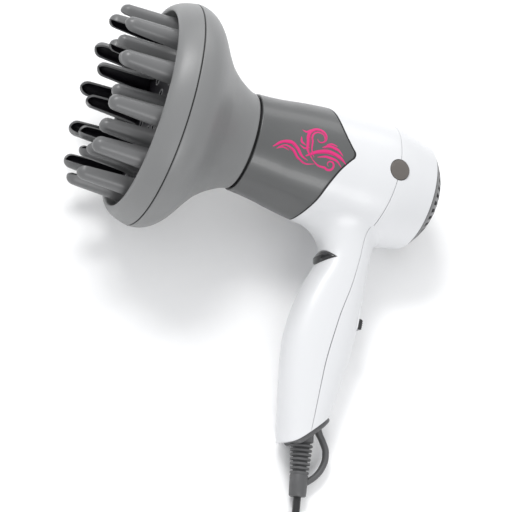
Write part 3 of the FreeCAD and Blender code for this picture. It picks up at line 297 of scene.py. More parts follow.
FINISH = {
    "shell_white": finish_of(
        "white gloss moulding", (0.665, 0.67, 0.68), 0.36, 700.0, 0.01, 0.012, coat=0.06),
    "sleeve_grey": finish_of(
        "satin grey lacquer", (0.088, 0.09, 0.09), 0.36, 1500.0, 0.015, 0.06, 60.0, coat=0.12),
    "scroll_pink": finish_of("printed pink scroll", (0.62, 0.018, 0.165), 0.34, 1200.0, 0.01, 0.08, 90.0),
    "scroll_dark": finish_of("printed dark line", (0.42, 0.012, 0.12), 0.36, 1200.0, 0.01, 0.08, 90.0),
    "cap_taupe": finish_of("satin taupe cap", (0.115, 0.104, 0.094), 0.42, 1300.0, 0.03, 0.07, 300.0),
    "grille_grey": finish_of("satin grille grey", (0.1, 0.1, 0.102), 0.4, 1200.0, 0.02, 0.05),
    "diffuser_grey": finish_of("satin diffuser grey", (0.185, 0.187, 0.187), 0.42, 1500.0, 0.03, 0.05, 40.0),
    "finger_grey": finish_of("satin finger grey", (0.13, 0.131, 0.132), 0.38, 1500.0, 0.03, 0.06, 60.0),
    # finger_dark: near-black painted shade for the deep hollow insides of the fingers, not a different plastic.
    "finger_dark": finish_of("painted hollow shade", (0.012, 0.011, 0.014), 0.34, 900.0, 0.03, 0.2, 60.0),
    "gloss_black": finish_of("gloss black", (0.012, 0.012, 0.013), 0.14, 600.0, 0.006, 0.1, coat=0.5),
    "relief_rubber": finish_of("soft grey rubber", (0.085, 0.085, 0.087), 0.5, 1600.0, 0.04, 0.15, 120.0),
    "cord_black": finish_of("cord sheath", (0.014, 0.014, 0.015), 0.42, 1100.0, 0.03, 0.15, 90.0, sheen=0.1),
    "tie_black": finish_of(
        "hook and loop band", (0.02, 0.02, 0.022), 0.8, 2600.0, 0.12, 0.3, 700.0, sheen=0.3),
    "pin_nickel": finish_of("nickel plating", (0.72, 0.7, 0.66), 0.2, 500.0, 0.008, 0.05, metal=1.0),
    "steel": finish_of("bright steel", (0.5, 0.5, 0.51), 0.32, 800.0, 0.02, 0.1, metal=1.0),
    "switch_black": finish_of("switch moulding", (0.02, 0.02, 0.02), 0.45, 1000.0, 0.02, 0.1),
    "board_brown": finish_of("phenolic board", (0.2, 0.11, 0.04), 0.5, 400.0, 0.03, 0.2),
    "lead_red": finish_of("silicone sleeving", (0.4, 0.03, 0.02), 0.4, 900.0, 0.02, 0.1),
    "heat_resin": finish_of("heat-proof resin", (0.022, 0.022, 0.023), 0.45, 900.0, 0.03, 0.2),
    "mica": finish_of("mica sheet", (0.5, 0.44, 0.32), 0.35, 300.0, 0.05, 0.3, 200.0),
    "heater_wire": finish_of("oxidised wire", (0.28, 0.25, 0.23), 0.4, 900.0, 0.02, 0.3, metal=0.9),
    "ceramic": finish_of("glazed ceramic", (0.7, 0.68, 0.62), 0.25, 500.0, 0.02, 0.08),
    "duct_black": finish_of("black moulding", (0.03, 0.03, 0.03), 0.4, 900.0, 0.02, 0.15),
    "filter_mesh": finish_of("filter mesh", (0.03, 0.03, 0.03), 0.55, 1800.0, 0.05, 0.2),
    "gap_black": finish_of("dark seal", (0.008, 0.008, 0.008), 0.6, 900.0, 0.02, 0.1),
}


def dress(made, finish, body, replaced=()):
    """Give a piece its finish, let it ride on a body and stand for its CAD nodes."""
    made.data.materials.clear()
    made.data.materials.append(FINISH[finish])
    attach(made, body)
    if replaced:
        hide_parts(*replaced)
    return made


SLOT_OF = {part["node"]: part["material_slot"] for part in frame["record"]["subparts"]}
for label, item in frame["nodes"].items():
    item.data.materials.clear()
    item.data.materials.append(FINISH[SLOT_OF[label]])

# ---------------------------------------------------------------- sizes

BARREL_ALONG = [0, 9, 19, 28, 42, 52, 61, 70, 80, 90, 94, 103, 113, 120.5]
BARREL_RADIUS = [31.2, 31.9, 33.1, 34.7, 36.7, 37.8, 38.4, 39.0, 39.9, 40.25, 40.0, 38.6, 36.4, 34.7]
WALL = 2.0
SEAM_GAP = 0.21
POINT_HEIGHT = [0, 1.6, 4.5, 12.4, 22, 30.5, 36, 39]
POINT_ALONG = [61.7, 61.4, 59.2, 54.2, 50.4, 48.2, 46.0, 44.6]
TRIM_HALF = 0.62
SEAM_DEPTH = [-60, 0, 18, 42, 70, 97, 130, 200]
SEAM_ALONG = [92, 92, 91.2, 88.0, 85.2, 80.2, 77.3, 77.0]
CAP_ALONG = 92.0
CAP_RADIUS = 6.5
TAIL = 120.5

HANDLE_DEPTH = [33, 42, 48, 58, 75, 95, 113, 132, 152, 172, 186]
HANDLE_FRONT = [60.0, 65.5, 66.8, 65.8, 59.9, 54.9, 53.2, 55.0, 58.2, 61.8, 64.4]
HANDLE_REAR = [98.8, 98.8, 98.7, 98.3, 98.5, 98.5, 97.3, 94.8, 91.5, 88.0, 85.6]
HANDLE_HALF = [17.4, 16.9, 16.4, 16.1, 16.0, 15.8, 15.3, 14.6, 13.9, 13.1, 12.6]
HANDLE_POWER = 2.3
HANDLE_HEART = 77.0
FLARE_DEPTH = 55.0
FLARE_MIDDLE = 76.0
FLARE_REACH = 27.5
FLARE_HALF = 25.0
END_POINT = (77.0, -167.0)
END_LOW = 176.1


def barrel_radius(along):
    return through(BARREL_ALONG, BARREL_RADIUS, along)


def point_edge(height):
    """The sleeve's pointed rear edge: how far along it lies at a height from the middle plane."""
    return through(POINT_HEIGHT, POINT_ALONG, np.abs(height))


def seam_along(depth):
    return through(SEAM_DEPTH, SEAM_ALONG, depth)


def on_barrel(along, angle, sink=0.0):
    """Points on the barrel: angle 0 is the left side, a quarter turn is the top."""
    radius = barrel_radius(along) - sink
    return xyz(along, -radius * np.cos(angle), radius * np.sin(angle))


# ---------------------------------------------------------------- nozzle sleeve

def build_sleeve():
    """A turned skin from the nozzle's edge to the pointed edge, rolled over at both ends."""
    angle = np.linspace(0, 2 * math.pi, 300, endpoint=False)
    share = np.linspace(0, 1, 56)[:, None]
    height = 38.0 * np.sin(angle)
    edge = point_edge(height) - TRIM_HALF
    along = 0.9 + (edge - 0.9) * share
    made = surface("nozzle_sleeve_skin", on_barrel(along, angle + 0 * along), round_columns=True)
    turn_outward(made, barrel_heart)
    thicken(made, WALL)
    ease_edges(made, 0.5, segments=3)
    return dress(made, "sleeve_grey", "root", replaced=["nozzle_sleeve"])


def build_trim():
    """A thin dark seal that follows the pointed edge between sleeve and shell."""
    angle = np.linspace(0, 2 * math.pi, 360, endpoint=False)
    middle = point_edge(38.0 * np.sin(angle))
    rows = [(-TRIM_HALF - 0.3, 1.6), (-TRIM_HALF - 0.3, 0.4), (-0.25, 0.16), (0.25, 0.16),
            (TRIM_HALF + 0.3, 0.4), (TRIM_HALF + 0.3, 1.6)]
    grid = np.stack([on_barrel(middle + shift, angle, sink) for shift, sink in rows])
    made = surface("sleeve_trim", grid, round_rows=True, round_columns=True)
    return dress(made, "gap_black", "root")


SCROLL_LIFT = 0.05


def stroke_points(path, width, count=44):
    """A flat brush stroke along a path on the sleeve: thin at both ends, `width` at its middle."""
    path = np.asarray(path, float)
    share = np.linspace(0, 1, count)
    pace = np.concatenate([[0], np.cumsum(np.linalg.norm(np.diff(path, axis=0), axis=1))])
    pace /= pace[-1]
    line = np.stack([through(pace, path[:, axis], share) for axis in range(2)], axis=1)
    run = np.gradient(line, axis=0)
    run /= np.linalg.norm(run, axis=1, keepdims=True)
    side = np.stack([-run[:, 1], run[:, 0]], axis=1)
    half = width / 2 * np.sin(math.pi * np.clip(share * 0.93 + 0.05, 0, 1)) ** 0.8
    across = np.linspace(-1, 1, 5)[None, :, None]
    return line[:, None, :] + side[:, None, :] * half[:, None, None] * across


def curl(middle, radius, start, turns, shrink, count=26):
    """A spiral round a point, from the outside in."""
    share = np.linspace(0, 1, count)
    angle = start + turns * 2 * math.pi * share
    reach = radius * (1 - (1 - shrink) * share)
    return np.stack([middle[0] + reach * np.cos(angle), middle[1] + reach * np.sin(angle)], axis=1)


def build_scroll():
    """A generic scroll: curls and waves as thin prints on the sleeve, drawn as (along, arc height)."""
    curl_heart = (37.6, 4.2)
    low_heart = (47.2, -9.8)
    light = [
        ([(35.9, -9.6), (31.4, -4.4), *curl(curl_heart, 7.6, math.radians(205), -0.98, 0.18)], 1.9),
        ([(36.6, -8.4), (34.0, -3.4), *curl(curl_heart, 4.9, math.radians(215), -0.62, 0.6)], 1.1),
        ([(35.8, -9.8), (41.5, -12.4), *curl(low_heart, 3.4, math.radians(225), 1.1, 0.3)], 1.3),
        ([(10.8, -9.4), (15.5, -4.6), (20.5, -3.0), (25.4, -5.8), (29.5, -9.8), (33.5, -11.4)], 2.1),
        ([(14.0, -8.6), (18.5, -6.0), (22.8, -7.2), (27.4, -11.6), (32.6, -13.6), (38.2, -12.0)], 1.3),
        ([(13.0, -10.0), (17.2, -7.8), (21.0, -8.8)], 0.9),
        ([(31.4, -9.0), (38.0, -4.6), (45.0, -2.7), (51.5, -3.6), (57.0, -6.7)], 2.5),
        ([(38.6, -7.6), (44.6, -5.8), (50.0, -6.2), (54.8, -9.2)], 1.4),
        ([(40.2, -1.2), (44.6, 0.9), (49.4, 0.3), (54.0, -2.6)], 1.6),
        ([(42.6, 1.4), (46.0, 2.6), (49.6, 2.0)], 0.9),
        ([(31.6, 8.6), (28.8, 6.2), (26.4, 7.0)], 1.3),
        ([(30.0, -2.6), (27.0, -0.8), (26.4, 2.4)], 1.3),
        ([(32.6, -3.2), (29.6, -4.6), (26.2, -3.2)], 1.0),
    ]
    dark = [
        ([(34.9, -8.4), (32.6, -4.0), *curl(curl_heart, 6.3, math.radians(205), -0.85, 0.45)], 0.5),
        ([(12.8, -8.2), (17.0, -4.7), (21.5, -4.1), (26.5, -8.0)], 0.5),
        ([(33.4, -8.4), (39.5, -4.8), (46.0, -3.4), (54.5, -5.8)], 0.55),
        ([(17.0, -7.4), (22.0, -8.0), (27.2, -12.2), (33.0, -14.0)], 0.4),
        ([(41.0, -1.7), (45.4, 0.1), (50.2, -0.9)], 0.4),
    ]
    for name, finish, strokes, lift in (("scroll_ornament", "scroll_pink", light, SCROLL_LIFT),
                                        ("scroll_shading", "scroll_dark", dark, 2 * SCROLL_LIFT)):
        points = []
        faces = []
        for path, width in strokes:
            flat = stroke_points(path, width)
            along, arc = flat[..., 0], flat[..., 1]
            angle = arc / 35.5
            sheet = on_barrel(along, angle, -lift)
            under = on_barrel(along, angle, 0.1)
            rows, columns = along.shape
            base = sum(len(block) for block in points)
            faces.append(grid_faces(rows, columns, False, False) + base)
            faces.append(grid_faces(rows, columns, False, False)[:, ::-1] + base + rows * columns)
            border = np.concatenate([np.arange(columns), np.arange(1, rows) * columns + columns - 1,
                                     (rows - 1) * columns + np.arange(columns - 2, -1, -1),
                                     np.arange(rows - 2, 0, -1) * columns])
            after = np.roll(border, -1)
            skirt = np.stack([border, after, after + rows * columns, border + rows * columns], axis=1)
            faces.append(skirt + base)
            points += [sheet.reshape(-1, 3), under.reshape(-1, 3)]
        made = mesh_object(name, place(np.vstack(points)), np.vstack(faces))
        finish_mesh(made)
        dress(made, finish, "root")


# ---------------------------------------------------------------- white shells

def ring_angles(count):
    return np.linspace(0, 2 * math.pi, count, endpoint=False)


def build_barrel_half(name, front):
    """One white half of the barrel: rows between the sleeve's edge, the seam and the open rear end."""
    angle = ring_angles(320)
    share = np.linspace(0, 1, 40)[:, None]
    height = 39.0 * np.sin(angle)
    seam = seam_along(-height)
    if front:
        low, high = point_edge(height) + TRIM_HALF, seam - SEAM_GAP
    else:
        low, high = seam + SEAM_GAP, np.full_like(angle, TAIL)
    along = low + (high - low) * share
    made = surface(name, on_barrel(along, angle + 0 * along), round_columns=True)
    turn_outward(made, barrel_heart)
    thicken(made, WALL)
    return made


def section_across(depth, turn):
    """A point of the handle's section: a rounded ellipse from its drawn front, rear and half width."""
    front = through(HANDLE_DEPTH, HANDLE_FRONT, depth)
    rear = through(HANDLE_DEPTH, HANDLE_REAR, depth)
    half = through(HANDLE_DEPTH, HANDLE_HALF, depth)
    cosine, sine = np.cos(turn), np.sin(turn)
    x = (front + rear) / 2 + (rear - front) / 2 * np.sign(cosine) * np.abs(cosine) ** (2 / HANDLE_POWER)
    y = half * np.sign(sine) * np.abs(sine) ** (2 / HANDLE_POWER)
    return x, y


def seam_turn(depth):
    """The angle of the section's point that lies on the seam."""
    front = through(HANDLE_DEPTH, HANDLE_FRONT, depth)
    rear = through(HANDLE_DEPTH, HANDLE_REAR, depth)
    share = (seam_along(depth) - (front + rear) / 2) / ((rear - front) / 2)
    return np.arccos(np.clip(np.sign(share) * np.abs(share) ** (HANDLE_POWER / 2), -1, 1))


def gap_turn(depth):
    return SEAM_GAP / 17.0 + 0 * depth


def section_turn(front, depth, share):
    """Angles across one half of the section, from seam to seam."""
    seam = seam_turn(depth)
    if front:
        low = seam + gap_turn(depth)
        return low + (2 * math.pi - 2 * low) * share
    high = seam - gap_turn(depth)
    return -high + 2 * high * share


def end_depth(x):
    """Depth of the handle's lower end: flat below, then cut at 45 degrees."""
    cut = -END_POINT[1] - (x - END_POINT[0])
    soft = 2.0
    return -soft * np.logaddexp(-END_LOW / soft, -cut / soft)


def foot_on_barrel(turn, spread):
    """Where the handle's skin meets the barrel, on an oval round the handle's root."""
    x = FLARE_MIDDLE + FLARE_REACH * spread * np.cos(turn)
    y = FLARE_HALF * spread * np.sin(turn)
    radius = barrel_radius(x) - 0.06
    return xyz(x, y, -np.sqrt(radius ** 2 - y ** 2))


def build_handle_half(name, front):
    """One half of the handle's skin: a flare off the barrel, the grip, and the rounded lower end."""
    columns = 97
    share = np.linspace(0, 1, columns)
    root_turn = section_turn(front, np.full(columns, FLARE_DEPTH), share)
    x0, y0 = section_across(np.full(columns, FLARE_DEPTH), root_turn)
    top = xyz(x0, y0, -FLARE_DEPTH)
    x1, y1 = section_across(np.full(columns, FLARE_DEPTH + 1.0), root_turn)
    rise = top - xyz(x1, y1, -FLARE_DEPTH - 1.0)

    foot_seam = math.acos((seam_along(36.0) - FLARE_MIDDLE) / FLARE_REACH)
    gap = SEAM_GAP / 26.0
    if front:
        foot_turn = foot_seam + gap + (2 * math.pi - 2 * foot_seam - 2 * gap) * share
    else:
        foot_turn = -foot_seam + gap + 2 * (foot_seam - gap) * share
    foot = foot_on_barrel(foot_turn, 1.0)
    outward = foot_on_barrel(foot_turn, 1.04) - foot
    outward /= np.linalg.norm(outward, axis=1, keepdims=True)
    span = np.linalg.norm(foot - top, axis=1, keepdims=True)
    t = np.linspace(0, 1, 26)[:-1, None, None]
    leave, arrive = rise * span * 1.05, outward * span * 0.95
    flare = ((2 * t ** 3 - 3 * t ** 2 + 1) * top + (t ** 3 - 2 * t ** 2 + t) * leave
             + (3 * t ** 2 - 2 * t ** 3) * foot + (t ** 3 - t ** 2) * arrive)
    last = (t[-1] * 0 + 1) * foot[None]
    flare = np.concatenate([flare, last])[::-1]

    down = np.linspace(0, 1, 132)[1:, None]
    end = np.full(columns, 170.0)
    for _ in range(12):
        turn = section_turn(front, end, share)
        end = 0.5 * end + 0.5 * end_depth(section_across(end, turn)[0])
    depth = FLARE_DEPTH + (end - FLARE_DEPTH) * down
    x, y = section_across(depth, section_turn(front, depth, share))
    grip = xyz(x, y, -depth)

    lowest = grip[-1]
    heart = np.array([76.0, 0.0, 0.0])
    caps = []
    for draw in (0.97, 0.9, 0.6, 0.3, 0.0):
        x = heart[0] + (lowest[:, 0] - heart[0]) * draw
        caps.append(xyz(x, lowest[:, 1] * draw, -end_depth(x) - 0.6 * (1 - draw ** 8)))
    grid = np.concatenate([flare, grip, np.stack(caps)])
    made = surface(name, grid)
    turn_outward(made, handle_heart)
    thicken(made, WALL)
    return made


def disc_cutter(name, y_side, radius, deep):
    """A round plug through the barrel's side at the screw cap's place."""
    turn = ring_angles(72)
    rows = [(30.0, 0.0), (30.0, radius), (deep, radius), (deep, 0.0)]
    grid = np.stack([xyz(CAP_ALONG + reach * np.cos(turn), y_side * far, reach * np.sin(turn))
                     for far, reach in rows])
    return surface(name, grid, round_columns=True)


BUTTON_DEPTH = 57.3
BUTTON_HALF = 13.5
BUTTON_RISE = 4.3


def lens_height(across, grow=0.0):
    """Half height of the eye-shaped button at a distance from its middle: an arc between its tips."""
    half, rise = BUTTON_HALF + grow, BUTTON_RISE + grow
    radius = (half * half + rise * rise) / (2 * rise)
    inside = np.clip(radius ** 2 - np.asarray(across) ** 2, 0, None)
    return np.clip(np.sqrt(inside) - (radius - rise), 0, None)


def lens_cutter(name):
    """The button's opening: the eye outline grown by its gap, carried along the barrel's direction."""
    across = (BUTTON_HALF + 0.35) * np.sin(np.linspace(-math.pi / 2, math.pi / 2, 49))
    height = lens_height(across, 0.35)
    outline = np.concatenate([np.stack([across, height], 1), np.stack([across, -height], 1)[::-1][1:-1]])
    rows = []
    for x, draw in ((50.0, 0.0), (50.0, 1.0), (79.0, 1.0), (79.0, 0.0)):
        rows.append(xyz(x, outline[:, 0] * draw, -BUTTON_DEPTH + outline[:, 1] * draw))
    return surface(name, np.stack(rows), round_columns=True)


def block_cutter(name, low, high):
    """A box between two corners, to cut with."""
    x, y, z = (np.array([low[axis], high[axis]]) for axis in range(3))
    ring = np.array([[y[0], z[0]], [y[1], z[0]], [y[1], z[1]], [y[0], z[1]]])
    rows = [(x[0], 0.0), (x[0], 1.0), (x[1], 1.0), (x[1], 0.0)]
    middle = ring.mean(axis=0)
    grid = np.stack([xyz(along, *(middle + (ring - middle) * draw).T) for along, draw in rows])
    return surface(name, grid, round_columns=True)


KNOB_DEPTH = 93.5
KNOB_TRAVEL = 8.0
KNOB_OFFSET = 5.4
RECESS_HALF_LONG = 8.1
RECESS_HALF_WIDE = 9.2
RECESS_FLOOR = 96.5
KNOB_TOP = 99.7


def join_pieces(name, parts):
    """Several finished meshes as one object."""
    shape = bmesh.new()
    for part in parts:
        shape.from_mesh(part.data)
    mesh = bpy.data.meshes.new(name)
    shape.to_mesh(mesh)
    shape.free()
    for part in parts:
        bpy.data.objects.remove(part)
    made = bpy.data.objects.new(name, mesh)
    bpy.context.scene.collection.objects.link(made)
    smooth(made)
    return made


def build_shells():
    for side, front in (("front", True), ("rear", False)):
        barrel = build_barrel_half(side + "_barrel_skin", front)
        handle = build_handle_half(side + "_handle_skin", front)
        cut_with(barrel, [disc_cutter("cap_cut_%d" % y, y, CAP_RADIUS + 0.3, 50.0) for y in (-1, 1)])
        if front:
            cut_with(handle, [lens_cutter("lens_cut")])
        else:
            middle = -(KNOB_DEPTH - KNOB_TRAVEL / 2)
            low = (RECESS_FLOOR, -RECESS_HALF_WIDE, middle - RECESS_HALF_LONG)
            high = (RECESS_FLOOR + 13.5, RECESS_HALF_WIDE, middle + RECESS_HALF_LONG)
            cut_with(handle, [block_cutter("recess_cut", low, high)])
        for part in (barrel, handle):
            ease_edges(part, 0.22, 50)
        dress(barrel, "shell_white", "root", replaced=[side + "_shell"])
        dress(handle, "shell_white", "root", replaced=[side + "_shell"])


def build_recess():
    """The knobs' recess: a shallow tray under the opening in the rear shell."""
    middle = -(KNOB_DEPTH - KNOB_TRAVEL / 2)
    wide, long = RECESS_HALF_WIDE + 0.4, RECESS_HALF_LONG + 0.4
    rows = []
    for sink, draw in ((1.2, 0.0), (1.2, 1.0), (0.3, 1.0), (0.0, 0.97), (0.0, 0.0)):
        outline = ring_section(wide * draw, long * draw, 48, 9.0)
        rows.append(xyz(RECESS_FLOOR - sink, outline[:, 0], middle + outline[:, 1]))
    made = surface("knob_tray", np.stack(rows), round_columns=True)
    dress(made, "shell_white", "root")


def build_button():
    """The cool-shot button: an eye-shaped cushion on the handle's front with a ridge along its middle."""
    u = np.sin(np.linspace(-math.pi / 2, math.pi / 2, 65))
    upper = np.array([0.07, 0.2, 0.45, 0.7, 0.88, 0.97, 1.0, 1.0])
    w = np.concatenate([-upper[::-1], [0.0], upper])
    across = BUTTON_HALF * u
    height = lens_height(across)
    v = -BUTTON_DEPTH + height[None, :] * w[:, None]
    y = across[None, :] + 0 * v
    depth = -v
    front = through(HANDLE_DEPTH, HANDLE_FRONT, depth)
    rear = through(HANDLE_DEPTH, HANDLE_REAR, depth)
    half = through(HANDLE_DEPTH, HANDLE_HALF, depth)
    bow = (1 - (np.abs(y) / half) ** HANDLE_POWER) ** (1 / HANDLE_POWER)
    skin = (front + rear) / 2 - (rear - front) / 2 * bow
    crown = np.clip(1 - w[:, None] ** 2, 0, 1) ** 0.5 * np.clip(1 - u[None, :] ** 4, 0, 1) ** 0.5
    ridge = 0.35 * np.exp(-(w[:, None] / 0.16) ** 2) * np.clip(1 - (u[None, :] / 0.8) ** 4, 0, 1)
    x = skin - 1.9 * crown - ridge
    x[0] = skin[0] + 3.2
    x[-1] = skin[-1] + 3.2
    made = surface("cool_shot_cushion", xyz(x, y, v), round_rows=True, sharp=50)
    return dress(made, "gloss_black", "cool_shot", replaced=["cool_shot_button"])


def build_knobs():
    """Two slide knobs: rounded blocks with three grip ridges across, on short stems."""
    for name, side, body in (("speed", -1, "speed_slider"), ("heat", 1, "heat_slider")):
        long = np.linspace(-1, 1, 61)
        profile = 1.9 * np.clip(1 - np.abs(long) ** 6, 0, 1) ** 0.35
        profile = profile + 0.28 * (np.cos(long * math.pi * 5.2) > 0.25) * (np.abs(long) < 0.86)
        across = np.sin(np.linspace(-math.pi / 2, math.pi / 2, 21))
        crown = np.clip(1 - across ** 8, 0, 1) ** 0.3
        x = KNOB_TOP - 1.9 + profile[:, None] * crown[None, :]
        y = side * KNOB_OFFSET + 3.1 * across[None, :] + 0 * x
        z = -KNOB_DEPTH + 3.4 * long[:, None] + 0 * x
        top = xyz(x, y, z)
        base = top.copy()
        base[..., 0] = 96.9
        rows = np.concatenate([top, base[::-1]])
        made = surface(name + "_knob_cap", rows, round_rows=True, sharp=35)
        border = bmesh.new()
        border.from_mesh(made.data)
        bmesh.ops.holes_fill(border, edges=[edge for edge in border.edges if edge.is_boundary], sides=0)
        bmesh.ops.recalc_face_normals(border, faces=border.faces)
        border.to_mesh(made.data)
        border.free()
        smooth(made, 35)
        dress(made, "gloss_black", body, replaced=[name + "_knob"])


def build_caps():
    """Screw caps: shallow domes with a worn rim, bedded in the barrel's sides."""
    turn = ring_angles(96)
    for name, side in (("left", -1), ("right", 1)):
        rows = []
        for reach, lift in ((0.0, 0.5), (2.0, 0.49), (4.2, 0.42), (5.3, 0.36), (5.5, 0.28), (5.7, 0.36),
                            (6.0, 0.36), (6.3, 0.2), (6.42, -0.2), (6.42, -1.6), (0.0, -1.6)):
            x = CAP_ALONG + reach * np.cos(turn)
            z = reach * np.sin(turn)
            radius = barrel_radius(CAP_ALONG) + lift
            rows.append(xyz(x, side * np.sqrt(radius ** 2 - z ** 2), z))
        made = surface("screw_cap_" + name, np.stack(rows), round_columns=True, sharp=50)
        dress(made, "cap_taupe", "root", replaced=["side_cap_" + name])


# ---------------------------------------------------------------- air inlet

DOME_START = 121.3
DOME_RADIUS = 33.7
DOME_RISE = 14.4
SLOT_ROWS = ((5.0, 13.5, 12), (15.5, 23.0, 24), (25.0, 30.5, 36))
DOME_SIDES = 288


def dome_along(radius):
    """A ball's cap: how far along the dome lies at a radius."""
    ball = (DOME_RADIUS ** 2 + DOME_RISE ** 2) / (2 * DOME_RISE)
    return DOME_START + DOME_RISE - ball + np.sqrt(ball ** 2 - np.asarray(radius) ** 2)


def build_dome():
    """The inlet's cap with rings of slots, a closed wall, and its skirt into the housing."""
    radii = np.array([0.0, 2.5, 5.0, 7.8, 10.6, 13.5, 15.5, 19.0, 23.0, 25.0, 27.8, 30.5, 32.4, 33.3, 33.7])
    along = dome_along(radii)
    radii = np.append(radii, [33.75, 33.7, 33.3])
    along = np.append(along, [DOME_START - 0.4, DOME_START - 0.9, DOME_START - 1.3])
    angle = ring_angles(DOME_SIDES)
    grid = xyz(along[:, None] + 0 * angle, -radii[:, None] * np.cos(angle), radii[:, None] * np.sin(angle))
    keep = np.ones((len(radii) - 1, DOME_SIDES), bool)
    middle = (radii[1:] + radii[:-1]) / 2
    cell = np.arange(DOME_SIDES)
    for low, high, count in SLOT_ROWS:
        each = DOME_SIDES // count
        open_cells = (cell % each) < each // 2
        rows = (middle > low) & (middle < high)
        keep[np.ix_(rows, open_cells)] = False
    made = surface("inlet_dome", grid, round_columns=True, keep=keep)
    turn_outward(made, lambda own: own * 0 + np.array([90.0, 0.0, 0.0]))
    thicken(made, 1.8)
    ease_edges(made, 0.18, 50, 1)
    dress(made, "grille_grey", "inlet_cover", replaced=["inlet_grille"])
    skirt = [(DOME_START - 5.0, 30.4), (DOME_START - 5.0, 32.0),
             (DOME_START - 1.1, 32.0), (DOME_START - 1.1, 30.4)]
    dress(turned("inlet_skirt", skirt), "grille_grey", "inlet_cover")


# ---------------------------------------------------------------- diffuser

FLARE_ALONG = [-67.7, -66.6, -63.9, -60.2, -56.4, -52.6, -48.9, -45.1, -41.4, -37.6,
               -33.8, -30.1, -26.3, -22.6, -18.8, -15.0, -11.3, -7.5, -3.8, -0.9]
FLARE_RADIUS = [63.4, 65.3, 67.3, 68.9, 70.0, 70.7, 70.3, 69.1, 67.0, 63.6, 58.9, 53.5, 48.3, 43.8, 40.3,
                37.3, 35.0, 32.9, 31.3, 30.6]
RIM_SEAM = -54.0
RIM_GAP = 0.8
RIM_ROUND = 0.4
PLATE = -58.0


def build_diffuser():
    """The flared shell and its front rim, both turned walls with a fine groove between them."""
    along = np.linspace(RIM_SEAM + RIM_GAP / 2 + RIM_ROUND, -0.9, 60)
    outer = both_rounded(np.stack([along, through(FLARE_ALONG, FLARE_RADIUS, along)], 1), RIM_ROUND)
    inner_along = np.linspace(-13.5, RIM_SEAM + RIM_GAP / 2, 40)
    inner = np.stack([inner_along, through(FLARE_ALONG, FLARE_RADIUS, inner_along) - 2.2], 1)
    collar = np.array([[-0.5, 29.2], [-1.8, 28.9], [-13.0, 28.9]])
    dress(turned("diffuser_bell", np.vstack([outer, collar, inner]), 240), "diffuser_grey", "diffuser",
          replaced=["diffuser_shell"])

    along = np.linspace(-66.6, RIM_SEAM - RIM_GAP / 2 - RIM_ROUND, 40)
    outer = rounded_end(np.stack([along, through(FLARE_ALONG, FLARE_RADIUS, along)], 1), RIM_ROUND)
    bead = [(-67.45, 64.3), (-67.75, 63.2), (-67.6, 62.3), (-67.0, 61.7), (-66.0, 61.55), (-62.0, 61.6),
            (PLATE, 61.8)]
    back = [(PLATE, 66.8), (RIM_SEAM - 0.6, 68.0)]
    profile = np.vstack([outer, back[::-1], bead[::-1]])
    dress(turned("diffuser_front_rim", profile, 240), "diffuser_grey", "diffuser", replaced=["diffuser_rim"])
    groove = [(RIM_SEAM - 0.6, 67.8), (RIM_SEAM - 0.6, 69.85),
              (RIM_SEAM + 0.6, 69.85), (RIM_SEAM + 0.6, 67.8)]
    dress(turned("rim_groove", groove, 240), "gap_black", "diffuser")
    ring = [(-11.2, 27.75), (-11.2, 28.85), (-2.4, 28.85), (-2.4, 27.75)]
    dress(turned("neck_lining", ring, 120), "gap_black", "diffuser")


OUTER_RING = (52.5, 12, -7.4, 39.0, 1.0)
INNER_RING = (35.5, 10, 30.0, 36.0, 0.9)
FINGER_WALL = 1.15
FINGER_SHARE = [0.0, 0.05, 0.13, 0.28, 0.5, 0.75, 1.0]
FINGER_HALF = [8.0, 7.3, 6.6, 6.0, 5.5, 5.0, 4.45]


def finger_grid(length, scale):
    """A hollow tapered finger: a half tube with deep sides, drawn in to a round tip, open toward the axis."""
    columns = 25
    turn = np.linspace(0, math.pi, columns)
    near_tip = 0.82 + 0.18 * np.sin(np.linspace(0, math.pi / 2, 12))[1:]
    share = np.concatenate([np.linspace(0, 0.82, 22), near_tip])

    def shell(inset, shorten):
        tip = length - shorten
        stand = share * tip
        half = through(FINGER_SHARE, FINGER_HALF, share) * scale - inset
        dome = tip * 0.12
        close = np.sqrt(np.clip(1 - (np.clip(stand - (tip - dome), 0, None) / dome) ** 2, 0, 1))
        half = half * close
        cheek = (2.2 + 1.2 * (1 - share)) * close
        side = half[:, None] * np.cos(turn)
        lift = half[:, None] * 0.92 * np.sin(turn)
        ends = np.clip(1 - np.sin(turn) / 0.35, 0, 1) ** 1.5
        return xyz(-stand[:, None] + 0 * side, side, lift - cheek[:, None] * ends)

    outer = shell(0.0, 0.0)
    inner = shell(FINGER_WALL, FINGER_WALL)
    foot = (outer[:1] + inner[:1]) / 2
    outer, inner = np.concatenate([foot, outer]), np.concatenate([foot, inner])
    return np.concatenate([outer, inner[:, ::-1]], axis=1), columns


def build_fingers():
    for name, (ring, count, phase, length, scale), node_name in (
            ("outer_comb", OUTER_RING, "outer_fingers"), ("inner_comb", INNER_RING, "inner_fingers")):
        grid, columns = finger_grid(length, scale)
        blocks = []
        for index in range(count):
            turn = math.radians(phase + 360 * index / count)
            x = grid[..., 0] + PLATE
            y = grid[..., 1]
            z = grid[..., 2] + ring
            blocks.append(xyz(x, y * math.cos(turn) - z * math.sin(turn),
                              y * math.sin(turn) + z * math.cos(turn)))
        rows, wide = grid.shape[:2]
        faces = grid_faces(rows, wide, False, True)
        column = np.tile(np.arange(wide), rows - 1)
        # Faces of each finger's inner wall, facing the axis: these get the near-black painted shade of the hollow,
        # the outer faces keep the finger grey.
        inside = (column >= columns) & (column < wide - 1)
        everything = np.concatenate([faces + index * rows * wide for index in range(count)])
        made = mesh_object(name, place(np.concatenate(blocks).reshape(-1, 3)), everything)
        mesh = made.data
        dress(made, "finger_grey", "diffuser", replaced=[node_name])
        mesh.materials.append(FINISH["finger_dark"])
        mesh.polygons.foreach_set("material_index", np.tile(inside, count).astype(np.int32))
        finish_mesh(made, 50)


VENT_ROWS = ((12.0, 3.0, 6), (26.0, 3.2, 10), (45.0, 2.6, 12), (61.0, 2.6, 24))


